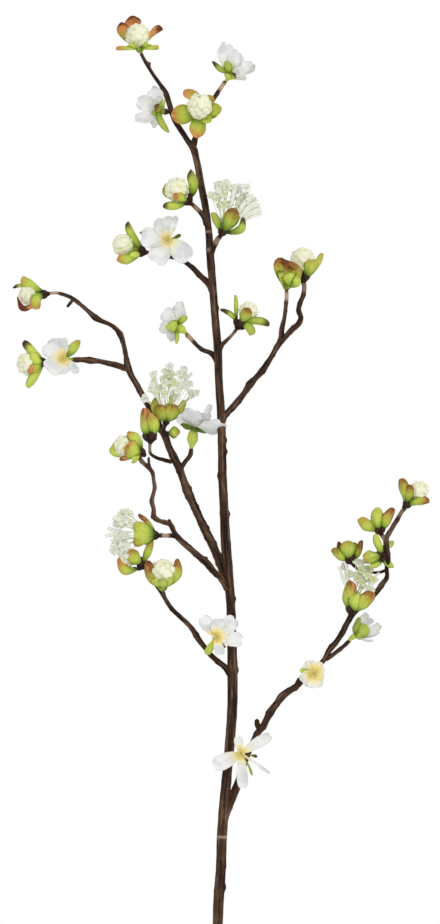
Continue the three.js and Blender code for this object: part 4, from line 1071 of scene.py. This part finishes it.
        leaves=[(6.5, -4, 19, 9, 0, 2.5, -5, 9), (14.5, -6, 11, 13, 0, 7.5, -7, 6),
            (12.5, -4, 3, 10, 0, 6, -5, 1), (9, 5, 15, 7, 0.1)],
        petals=[(14.5, 3, 21, 8), (19, 1, 16, 6), (25, -1, 12, 9), (24, -2, 6, 5), (19, -3, -2, 3),
            (18, 7, 16, 6)],
    ),
    "cluster_28": dict(
        kind="froth", seat=(124.5, -42, 295), cup=1.5, deep=0.08, head=(7, -1, 30, 17),
        leaves=[(-1.5, -3, 28, 15, 0.6, -5, -5, 14), (19.5, -5, 17, 15, 0.6, 11, -7, 7), (5, 8, 19, 10, 0.2),
            (8, -6, 16, 17, 0.05, 5, -7, 7)],
        florets=[(0, 0, 35, 6, 0.5), (6, -3, 33, 6, 0.9), (12, -4, 34, 6, 0.9), (16, -3, 31, 6, 0.6),
            (-5, -1, 37, 5, 0), (9, -3, 27, 6, 0.8), (13, -2, 40, 5, 0.2), (5, 0, 42, 5, 0.2),
            (11, -2, 25, 5, 0.4)],
        strokes=[(-12, -2, 40, 2.5), (-7, -2, 45, 2.5), (21, -2, 41, 2.5), (25, -2, 35, 2.5),
            (22, -2, 47, 2), (12, -3, 47, 2.5), (-10, -3, 33, 2.5), (24, -3, 29, 2)],
    ),
    "bud_29": dict(
        kind="bud", seat=(124, -41.5, 339), cup=1.6, deep=0.18,
        leaves=[(-16.5, -2, 10.5, 10, 0.4, -9, -4, 3), (-10.5, -1, 17, 9, 0.85),
            (-2, -8, 18, 14, 0.32, -2, -9, 9), (9.5, 0, 18, 7, 0.8, 7.5, -2, 7), (2, 6, 16, 10, 0.3)],
    ),
    "bud_30": dict(
        kind="bud", seat=(148.5, -53, 364.5), cup=1.45, deep=0.05,
        leaves=[(-19, -3, 11, 13, 0.4, -11, -5, 3), (-1.5, -6, 21, 10.5, 0.2, -3, -8, 10),
            (12.5, -2, 19.5, 13.5, 0.75, 7.5, -5, 9), (0, 7, 17, 10, 0.3)],
    ),
    "bud_31": dict(
        kind="bud", seat=(151.5, -51, 344), cup=1.35, deep=0.1, axis=(-0.92, -0.2, -0.3),
        leaves=[(-18, -4, -0.5, 13, 0.35, -10, -7, 1), (-6.5, -5, 19, 10, 0.05, -2.5, -7, 9),
            (-12, -4, -9.5, 8, 0.05), (9.5, 5, 11.5, 8, 0.05), (9, 5, -9, 8.5, 0.1)],
    ),
    "bud_32": dict(
        kind="ball", seat=(170, -60.5, 387), cup=1.0, deep=0.14, head=(11, 0, 12.5, 8.5),
        leaves=[(-5, -2, 23, 11, 0.6, -2.5, -4, 11.5), (1.8, -7, 18, 8, 0.75, 1.5, -8, 10),
            (20, -4, 3, 9.5, 0.6, 10, -5, 2), (12, 8, 17, 8, 0.2)],
    ),
}

# How leaves and petals are formed: bow, how far they bow out, cup, how hollow they are, thick, how thick,
# base and point, how slim at root and tip, waves and ruffle, how many ripples an edge has and how deep,
# notch, how far the middle of the tip is drawn back, twist, in radians, and frontTurn, how far the hollow
# side turns to the front.
bractForm = {
    "bow": 0.2, "cup": 0.55, "thick": 1.5, "base": 0.58, "point": 0.34, "waves": 1.2, "ruffle": 0.1,
    "notch": 0.0, "rings": 15, "around": 18, "twist": 0.25, "frontTurn": 0.9,
}
sepalForm = {
    **bractForm, "bow": 0.1, "cup": 0.35, "thick": 1.1, "base": 0.42, "point": 0.5, "ruffle": 0.05,
    "frontTurn": 0.8,
}
scaleForm = {**bractForm, "thick": 0.6, "rings": 7, "around": 10}
petalForm = {
    "bow": 0.12, "cup": 0.3, "thick": 0.45, "base": 0.55, "point": 0.3, "waves": 1.8, "ruffle": 0.14,
    "notch": 0.05, "rings": 18, "around": 22, "twist": 0.2, "frontTurn": 1.1,
}
spreadForm = {**petalForm, "bow": 0.05, "cup": 0.2}
laceForm = {
    **petalForm, "bow": 0.1, "cup": 0.25, "thick": 0.25, "ruffle": 0.15, "waves": 1.3, "rings": 6,
    "around": 8, "notch": 0.08, "twist": 0.25,
}
strokeForm = {**laceForm, "rings": 12, "bow": 0.08, "twist": 0.3, "base": 0.8, "frontTurn": 1.5}
tipForm = {**laceForm, "rings": 3, "around": 6, "notch": 0.0}

# Stems that end in a blossom, by its number. Any other blossom sits on its twig, or on the side of a stem.
carriers = {
    "01": "main_stem", "09": "right_fork", "10": "right_branch", "13": "large_left_branch", "14": "left_fork",
    "19": "middle_left_branch", "23": "lower_left_branch", "32": "lower_right_branch",
}


def stemEnd(name, otherwise):
    # The way that a blossom's own stem runs at its tip, or otherwise for a blossom on the side of a stem.
    carrier = carriers.get(name[-2:], "twig_" + name[-2:])
    if carrier not in routes:
        return otherwise
    last = np.array(routes[carrier][-2:], float)[:, :3]
    return unit(last[1] - last[0])


def nodeFor(name):
    # The node that holds the bracts of a blossom.
    return name + ("_bracts" if blossoms[name]["kind"] == "froth" else "")


def withRadii(line, radii):
    # A route for a tube, from points and the radius at each.
    return [(*point, radius) for point, radius in zip(line, radii)]


cupShape = {  # heights are above the seat, radii belong to the sink of its kind and to these heights
    "heights": (-1.2, 0.6, 2.2, 3.4), "radii": (1.5, 2.3, 3.3, 3.1, 1.6), "step": 0.5, "sides": 18,
    "fluting": 0.05, "apart": 0.3, "scales": 4, "scaleHeight": -1.6, "scaleRing": 1.6, "scaleLength": 4.0,
    "scaleWidth": 4.6, "scaleOut": 3.9, "leafHeight": 1.6, "leafRing": 1.9,
}
cupKinds = {  # sink is how deep the cup starts below its seat, reach how far up the leaves its brown goes
    "brown": {
        "sink": 4.0, "finish": "bark", "slot": "bark", "places": "grainPlace", "tint": (0, 1, 0.4),
        "scaleTint": (0.8, 0.3, 1.3), "reach": 0.24,
    },
    "green": {
        "sink": 1.8, "finish": "leaf", "slot": "bracts", "places": "leafPlace", "tint": (0, 0.2, 0),
        "scaleTint": (0.2, 0.5, 0), "reach": 0,
    },
}


def stemCup(name, seat, axis, entry, seed):
    # The cup that holds the stem's end and spreads to carry the bracts, with a few small scales round it.
    kind = cupKinds["green" if entry.get("green") else "brown"]
    size = entry.get("cup", 1.0)
    way = stemEnd(name, axis)
    throat, low, middle, top = cupShape["heights"]
    line = [
        seat - way * kind["sink"], seat + way * throat, seat + axis * low, seat + axis * middle,
        seat + axis * top * size,
    ]
    route = withRadii(line, np.array(cupShape["radii"]) * (1, 1 + 0.5 * (size - 1), size, size, size))
    skins = Skins()
    tube(
        skins, route, cupShape["step"], cupShape["sides"], kind["tint"], cupShape["fluting"],
        own=seed * cupShape["apart"], leafy=kind["places"] == "leafPlace",
    )
    addPiece(name + "_cup", skins, kind["finish"], [nodeFor(name)], kind["places"])
    chance = np.random.default_rng(seed + 500)
    count = cupShape["scales"]
    turn = 2 * np.pi * (np.arange(count) + chance.uniform(0, 0.5)) / count
    out = turnedTo(xyz(np.cos(turn), np.sin(turn), 0.0), axis)
    roots = seat + axis * cupShape["scaleHeight"] + out * cupShape["scaleRing"] * size
    length = cupShape["scaleLength"] + chance.uniform(-1, 1, (count, 1))
    tips = seat + axis * size * length + out * cupShape["scaleOut"] * size
    vias = bowed(roots, tips, out, scaleForm["bow"])
    scales = Skins()
    blades(scales, roots, vias, tips, -out, cupShape["scaleWidth"] * size, scaleForm, kind["scaleTint"], seed)
    addPiece(name + "_scales", scales, "leaf", [nodeFor(name)])


def leafTable(entry, origin):
    # The tip, width and blush of each leaf, the point halfway, and whether the entry gives that.
    leaves = np.array([list(leaf) + [np.nan] * (8 - len(leaf)) for leaf in entry["leaves"]])
    tips, halfway = origin + leaves[:, :3], origin + leaves[:, 5:]
    return tips, leaves[:, 3], leaves[:, 4], halfway, ~np.isnan(leaves[:, 5:6])


splay = {
    "clear": 0.9, "bows": (0.1, 0.42),  # the gap to the ball, and how far a bract may bow out to leave it
    "lean": 0.3,  # of the hollow side along the axis, where there is no ball
    "middle": 10,  # how far up its axis a blossom's middle is taken to lie
}


def bracts(name, seat, axis, entry, seed, ball=None):
    # Bracts from the rim of the cup to their tips. Where no halfway point is given, they bow out at least
    # so far that each clears the ball. Their hollow side faces the ball, or the axis if there is none, and
    # is front-turned.
    kind = cupKinds["green" if entry.get("green") else "brown"]
    tips, widths, blush, halfway, given = leafTable(entry, seat)
    root = seat + axis * cupShape["leafHeight"]
    out = squareTo(np.where(given, halfway, tips) - seat, axis)
    roots = root + out * cupShape["leafRing"] * entry.get("cup", 1.0)
    middles = (roots + tips) / 2
    chord = tips - roots
    if ball is None:
        towards = -squareTo(middles - root, axis) + splay["lean"] * axis
        bow = np.full(len(tips), bractForm["bow"])
        depth = middles[:, 1] - root[1] - axis[1] * splay["middle"]
    else:
        centre, radius = ball
        towards = squareTo(centre - middles, unit(chord))
        room = radius + splay["clear"] - ((middles - centre) * -towards).sum(1)
        bow = np.clip(room / np.linalg.norm(chord, axis=1), *splay["bows"])
        depth = middles[:, 1] - centre[1]
    vias = np.where(given, halfway, bowed(roots, tips, -towards, bow))
    inside = frontTurned(towards, chord, depth, bractForm["frontTurn"])
    tints = xyz(blush, entry.get("deep", 0), kind["reach"] + entry.get("brown", 0))
    form = {**bractForm, "base": entry.get("base", bractForm["base"])}
    skins = Skins()
    blades(skins, roots, vias, tips, inside, widths, form, tints, seed)
    addPiece(name + "_leaves", skins, "leaf", [nodeFor(name)])


ballForm = {  # least is the height of the lowest dome, stray how far domes are put off
    "domes": 54, "relief": 0.16, "green": 0.0, "long": 1.0, "rings": 40, "around": 64, "domeWidth": 2.25,
    "stray": 0.55, "least": 0.55,
}
coreForm = {  # height and radius as shares of how far the bracts reach
    **ballForm, "domes": 60, "relief": 0.12, "green": 1.0, "long": 1.6, "rings": 18, "around": 26,
    "seat": 2, "height": 0.3, "radius": 0.15,
}
looseTips = {  # the first so many of the golden directions, so that none stands beside the cup
    "count": 38, "of": 52, "stray": (0.12, 0.16), "lean": 0.5, "reach": (0.98, 1.06), "root": 0.84,
    "widths": (2.2, 3.6),
}


def makeBall(name, seat, entry, seed):
    # A cup, bracts that splay round the ball, and the ball with its loose petal tips.
    head = np.array(entry["head"], float)
    axis = unit(head[:3])
    centre, radius = seat + head[:3], head[3]
    stemCup(name, seat, axis, entry, seed)
    bracts(name, seat, axis, entry, seed, (centre, radius))
    skins = Skins()
    lumpyBall(skins, centre, radius, axis, ballForm, seed)
    petalTips(skins, centre, radius, axis, looseTips, seed)
    addPiece(name + "_ball", skins, "floret", [name])


def makeBud(name, seat, entry, seed):
    # A cup, bracts that stay close to their mean direction, and a small core of florets between them.
    reaches = leafTable(entry, 0.0)[0]
    axis = unit(np.array(entry.get("axis", unit(reaches).mean(0)), float))
    reach = np.linalg.norm(reaches, axis=1).mean()
    stemCup(name, seat, axis, entry, seed)
    bracts(name, seat, axis, entry, seed)
    skins = Skins()
    centre = seat + axis * (coreForm["seat"] + coreForm["height"] * reach)
    lumpyBall(skins, centre, coreForm["radius"] * reach, axis, coreForm, seed)
    addPiece(name + "_core", skins, "floret", [name])


cloudShape = {  # near is how many florets stand at a place, and front and up how far they look that way
    "near": 2, "spread": 5.0, "size": 0.75, "middle": 0.6, "front": 1.8, "up": 0.3, "stray": 0.3, "petals": 5,
    "petalReach": (0.75, 1.15), "petalLift": (0, 0.35), "petalWidth": 0.95, "petalWidths": (0.6, 1.2),
    "petalRoot": 0.4, "stalk": 0.28, "stalkRoot": 3.0, "stalkRise": 0.12, "stalkBow": 1.5, "stamens": 5,
    "fan": 0.8, "fanStray": 0.22, "stamen": (0.14, 0.14, 0.14, 0.4), "strokeRoot": 0.45,
}


def makeFroth(name, seat, entry, seed):
    # A cloud of open florets: near ones stand together at each place listed. Each has a stalk from the cup,
    # five thin petals and a few stamens, and looks outward from the head's middle and to the front.
    head = np.array(entry["head"], float)
    axis = unit(head[:3])
    stemCup(name, seat, axis, entry, seed)
    bracts(name, seat, axis, entry, seed)
    cloud = cloudShape
    chance = np.random.default_rng(seed + 900)
    florets = np.repeat(np.array(entry["florets"], float), cloud["near"], axis=0)
    count, petals = len(florets), cloud["petals"]
    places = seat + florets[:, :3] + chance.normal(size=(count, 3)) * cloud["spread"] / 2
    size, green = florets[:, 3, None, None] * cloud["size"], florets[:, 4]
    ways = unit(places - seat - head[:3] * cloud["middle"])
    facing = unit(ways + (0, -cloud["front"], cloud["up"]) + cloud["stray"] * chance.normal(size=(count, 3)))
    start = seat + axis * cloud["stalkRoot"]
    bends = (start + places) / 2 + axis * cloud["stalkRise"] * head[3]
    bends = bends + squareTo(ways, axis) * cloud["stalkBow"]
    stalks = Skins()
    starts = np.broadcast_to(start, places.shape)
    threads(stalks, starts, bends, places, [cloud["stalk"]] * 5, [(0.4, 0, 0)] * 5)
    addPiece(name + "_stalks", stalks, "cloud", [name + "_florets"])
    spin = 2 * np.pi * (np.arange(petals)[None] / petals + chance.uniform(0, 1, (count, 1)))
    petalWay = allRound(facing, (0.36, 0.8, 0.48), spin)
    roots = places[:, None] + petalWay * cloud["petalRoot"]
    reach = size * chance.uniform(*cloud["petalReach"], (count, petals, 1))
    lift = facing[:, None] * chance.uniform(*cloud["petalLift"], (count, petals, 1)) * size
    tips = places[:, None] + petalWay * reach + lift
    roots, tips = roots.reshape(-1, 3), tips.reshape(-1, 3)
    inside = np.repeat(facing, petals, axis=0)
    widths = reach[..., 0] * cloud["petalWidth"] * chance.uniform(*cloud["petalWidths"], (count, petals))
    tints = xyz(np.repeat(green, petals) * 0.8 + 0.05, 0.0, 0.0)
    lace = Skins()
    vias = bowed(roots, tips, -inside, laceForm["bow"])
    blades(lace, roots, vias, tips, inside, widths.ravel(), laceForm, tints, seed)
    fan = chance.normal(size=(count, cloud["stamens"], 3)) * cloud["fanStray"] * size
    ends = places[:, None] + facing[:, None] * cloud["fan"] * size + fan
    starts = np.broadcast_to(places[:, None], ends.shape)
    bends = (starts + ends) / 2 + facing[:, None] * 0.5
    stamenTints = [(0.15, 0, 0), (0.15, 0, 0), (0.1, 0, 0), (0, 0.35, 0)]
    threads(lace, starts, bends, ends, cloud["stamen"], stamenTints, sides=4)
    strokes = np.array(entry["strokes"], float)
    tips = seat + strokes[:, :3]
    roots = seat * (1 - cloud["strokeRoot"]) + tips * cloud["strokeRoot"]
    upward = np.broadcast_to(axis, tips.shape)
    inside = frontTurned(upward, tips - roots, tips[:, 1] - seat[1], strokeForm["frontTurn"])
    vias = bowed(roots, tips, upward, strokeForm["bow"])
    blades(lace, roots, vias, tips, inside, strokes[:, 3], strokeForm, (0.1, 0, 0), seed + 1)
    addPiece(name + "_cloud", lace, "cloud", [name + "_florets"])


stamenShape = {  # lean is how far they lean along the flower's axis, spread how much of a ball they fill
    "count": 34, "long": 5.2, "short": 2.6, "spread": 0.75, "lean": 0.35, "start": 0.9, "lengths": (0.6, 1.1),
    "thread": 0.18, "anther": 0.45, "boss": 1.0, "lumps": 6, "lumpRadii": (0.4, 0.6, 0.6, 0.4),
}


def stamenTuft(name, centre, axis, long, seed):
    # Stamens that fan out round a boss, evenly by the golden angle.
    chance = np.random.default_rng(seed + 700)
    count, thin, thick = stamenShape["count"], stamenShape["thread"], stamenShape["anther"]
    ways = turnedTo(golden(int(count / stamenShape["spread"]))[:count], axis)
    ways = unit(ways + axis * stamenShape["lean"])
    starts = centre + ways * stamenShape["start"]
    ends = centre + ways * long * chance.uniform(*stamenShape["lengths"], (count, 1))
    tints = [(0, 0, 0), (0, 0, 0), (0.2, 0, 0), (1, 0, 0), (1, 0, 0)]
    skins = Skins()
    threads(skins, starts, (starts + ends) / 2 + axis, ends, (thin, thin, thin, thick, thick * 0.7), tints)
    lumps = turnedTo(golden(9)[:stamenShape["lumps"]] * (1, 1, 0.6), axis)
    lumps = centre + lumps * stamenShape["boss"] * 0.6
    threads(skins, lumps - axis, lumps, lumps + axis * 2.2, stamenShape["lumpRadii"], [(0, 1, 0)] * 4)
    addPiece(name + "_stamens", skins, "thread", [name + "_petals"])


calyxShape = {  # radii run from the cup's foot to its top, and heights are along the flower's axis
    "sides": 20, "radii": (1.35, 1.875, 3.9, 3.3, 2.31), "openSides": 18,
    "openRadii": (1.2, 1.2, 1.7, 2.7, 2.0), "apart": 0.4, "dark": 0.1, "sepalRing": 1.8, "petalRing": 1.4,
    "sink": 3.0, "petalHeight": 0.6, "stamenHeight": 1.5, "openStamenHeight": 0.4, "behind": 2.0,
    "warmth": 0.8,
}


def corolla(name, centre, axis, petals, form, warmth, glow, seed):
    # Petals from a small ring round the middle to their tips. On a spread flower their hollow side lies
    # along its axis, and on a cupped one it leans in and is front-turned.
    tips = centre + petals[:, :3]
    out = squareTo(petals[:, :3], axis)
    roots = centre + out * calyxShape["petalRing"]
    if form is spreadForm:
        inside = np.broadcast_to(axis, tips.shape)
        outward = -inside
    else:
        depth = (roots + tips)[:, 1] / 2 - centre[1] - axis[1] * splay["middle"]
        inside = frontTurned(axis - 1.2 * out, tips - roots, depth, form["frontTurn"])
        outward = -axis + 1.2 * out
    vias = bowed(roots, tips, outward, form["bow"])
    skins = Skins()
    blades(skins, roots, vias, tips, inside, petals[:, 3], form, (warmth, 0, 0), seed, centre, glow)
    addPiece(name + "_corolla", skins, "petal", [name + "_petals"])


def greenCalyx(name, seat, centre, axis, entry, route, sides, seed):
    # A green cup along the route, and sepals from a ring round its top to their tips, front-turned as bracts.
    skins = Skins()
    own = seed * calyxShape["apart"]
    tube(skins, route, cupShape["step"], sides, (0, 0, entry.get("brown", 0)), own=own, leafy=True)
    tips, widths, blush, halfway, given = leafTable(entry, seat)
    out = squareTo(tips - centre, axis)
    roots = centre + out * calyxShape["sepalRing"]
    vias = np.where(given, halfway, bowed(roots, tips, out - axis, sepalForm["bow"]))
    inside = frontTurned(axis - out, tips - roots, tips[:, 1] - centre[1], sepalForm["frontTurn"])
    tints = xyz(blush, entry.get("dark", calyxShape["dark"]), 0.0)
    form = {**sepalForm, "base": entry.get("base", sepalForm["base"])}
    blades(skins, roots, vias, tips, inside, widths, form, tints, seed)
    addPiece(name + "_calyx", skins, "leaf", [name + "_sepals"])


def fromCentre(entry, seat):
    # Where the petals of a flower meet, and their table counted from there.
    centre = seat + np.array(entry["centre"], float)
    petals = np.array(entry["petals"], float)
    petals[:, :3] += seat - centre
    return centre, petals


def makeFlower(name, seat, entry, seed):
    # A cup that swells from the stem's end to the sepals, then petals that stand up out of it.
    centre, petals = fromCentre(entry, seat)
    axis = unit(unit(petals[:, :3]).mean(0) + unit(centre - seat))
    way = stemEnd(name, unit(centre - seat))
    size = entry.get("cup", 1.0)
    foot, base = seat - way * calyxShape["sink"], centre + axis * calyxShape["petalHeight"]
    line = [foot, seat, seat * 0.6 + centre * 0.4, seat * 0.2 + centre * 0.8, base]
    route = withRadii(line, np.array(calyxShape["radii"]) * (1, 1, size, size, 1))
    greenCalyx(name, seat, centre, axis, entry, route, calyxShape["sides"], seed)
    corolla(name, base, axis, petals, petalForm, 0.0, 1.0, seed)
    stamenTuft(name, centre + axis * calyxShape["stamenHeight"], axis, stamenShape["short"], seed)


def makeOpen(name, seat, entry, seed):
    # A thin cup behind the flower, then petals that spread round a yellow middle.
    centre, petals = fromCentre(entry, seat)
    axis = unit(np.array(entry["faces"], float))
    ring = centre - axis * calyxShape["behind"]
    size = entry.get("cup", 1.0)
    line = [seat, seat * 0.6 + ring * 0.4, seat * 0.25 + ring * 0.75, ring, centre - axis * 0.4]
    route = withRadii(line, np.array(calyxShape["openRadii"]) * (size, size, 1, 1, 1))
    greenCalyx(name, seat, ring, axis, entry, route, calyxShape["openSides"], seed)
    warmth = entry.get("warmth", calyxShape["warmth"])
    corolla(name, centre, axis, petals, spreadForm, warmth, entry["glow"], seed)
    stamenTuft(name, centre + axis * calyxShape["openStamenHeight"], axis, stamenShape["long"], seed)


makers = {"ball": makeBall, "bud": makeBud, "froth": makeFroth, "flower": makeFlower, "open": makeOpen}
for number, (name, entry) in enumerate(blossoms.items()):
    makers[entry["kind"]](name, np.array(entry["seat"], float), entry, number + 1)
print("blossoms made:", len(blossoms))


# Camera, floor and light

stageLook = {
    "camera": (12.0, -2680.0, 664.0), "lens": 120.0, "clip": (0.05, 50.0), "floorRadius": 1450.0,
    "floorSides": 96, "floor": tone(236, 235, 232), "floorPatch": tone(228, 227, 224), "sky": 0.52,
    "aim": (0, 0, 0.6),  # metres, as are the places and sizes of the lamps
    "lamps": {  # place, size, power
        "front": ((0.3, -3.0, 1.3), 1.8, 30.0), "key": ((2.0, -1.6, 2.4), 1.6, 18.0),
        "left": ((-2.4, 0.4, 1.4), 1.8, 9.0), "back": ((-0.6, 2.6, 2.0), 1.8, 22.0),
    },
}


def makeCamera():
    # It stands upright in front of the spray and looks level along +Y.
    camera = bpy.data.objects.new("camera", bpy.data.cameras.new("camera"))
    camera.location = np.array(stageLook["camera"]) * mm
    camera.rotation_euler = (np.pi / 2, 0, 0)
    camera.data.lens = stageLook["lens"]
    camera.data.clip_start, camera.data.clip_end = stageLook["clip"]
    bpy.context.scene.collection.objects.link(camera)
    bpy.context.scene.camera = camera


def makeFloor():
    # A flat round of pale ground, its edge a circle.
    turn = fullTurn(stageLook["floorSides"])
    circle = xyz(np.cos(turn), np.sin(turn), 0.0) * stageLook["floorRadius"] * mm
    mesh = bpy.data.meshes.new("floor")
    mesh.from_pydata(circle.tolist(), [], [list(range(len(turn)))])
    r = newFinish("paleFloor")
    patches = r.noise(r.place(), None, 9.0, 3.0)
    mesh.materials.append(r.surface(r.layers(stageLook["floor"], (patches, stageLook["floorPatch"])), 0.9))
    floor = bpy.data.objects.new("floor", mesh)
    bpy.context.scene.collection.objects.link(floor)


def makeLamps():
    # Square lamps, each turned so that its -Z axis runs to the aim.
    aim = stageLook["aim"]
    for name, (place, size, power) in stageLook["lamps"].items():
        lamp = bpy.data.objects.new(name, bpy.data.lights.new(name, "AREA"))
        lamp.data.size = size
        lamp.data.energy = power
        lamp.location = place
        aimed = Vector(aim) - Vector(place)
        lamp.rotation_mode = "QUATERNION"
        lamp.rotation_quaternion = aimed.to_track_quat("-Z", "Y")
        bpy.context.scene.collection.objects.link(lamp)


def makeSky():
    # The camera sees plain white, and the part is lit by a dimmer white.
    r = Recipe(bpy.data.worlds.new("studio"))
    white = (1, 1, 1, 1)
    rays = r.node("ShaderNodeLightPath", output="Is Camera Ray")
    seen = r.node("ShaderNodeBackground", sockets={0: white})
    given = r.node("ShaderNodeBackground", sockets={0: white, 1: stageLook["sky"]})
    sky = r.node("ShaderNodeMixShader", sockets={0: rays, 1: given, 2: seen})
    r.node("ShaderNodeOutputWorld", sockets={0: sky})
    bpy.context.scene.world = r.owner
    bpy.context.scene.view_settings.view_transform = "Standard"


makeCamera()
makeFloor()
makeLamps()
makeSky()
print("stage made")
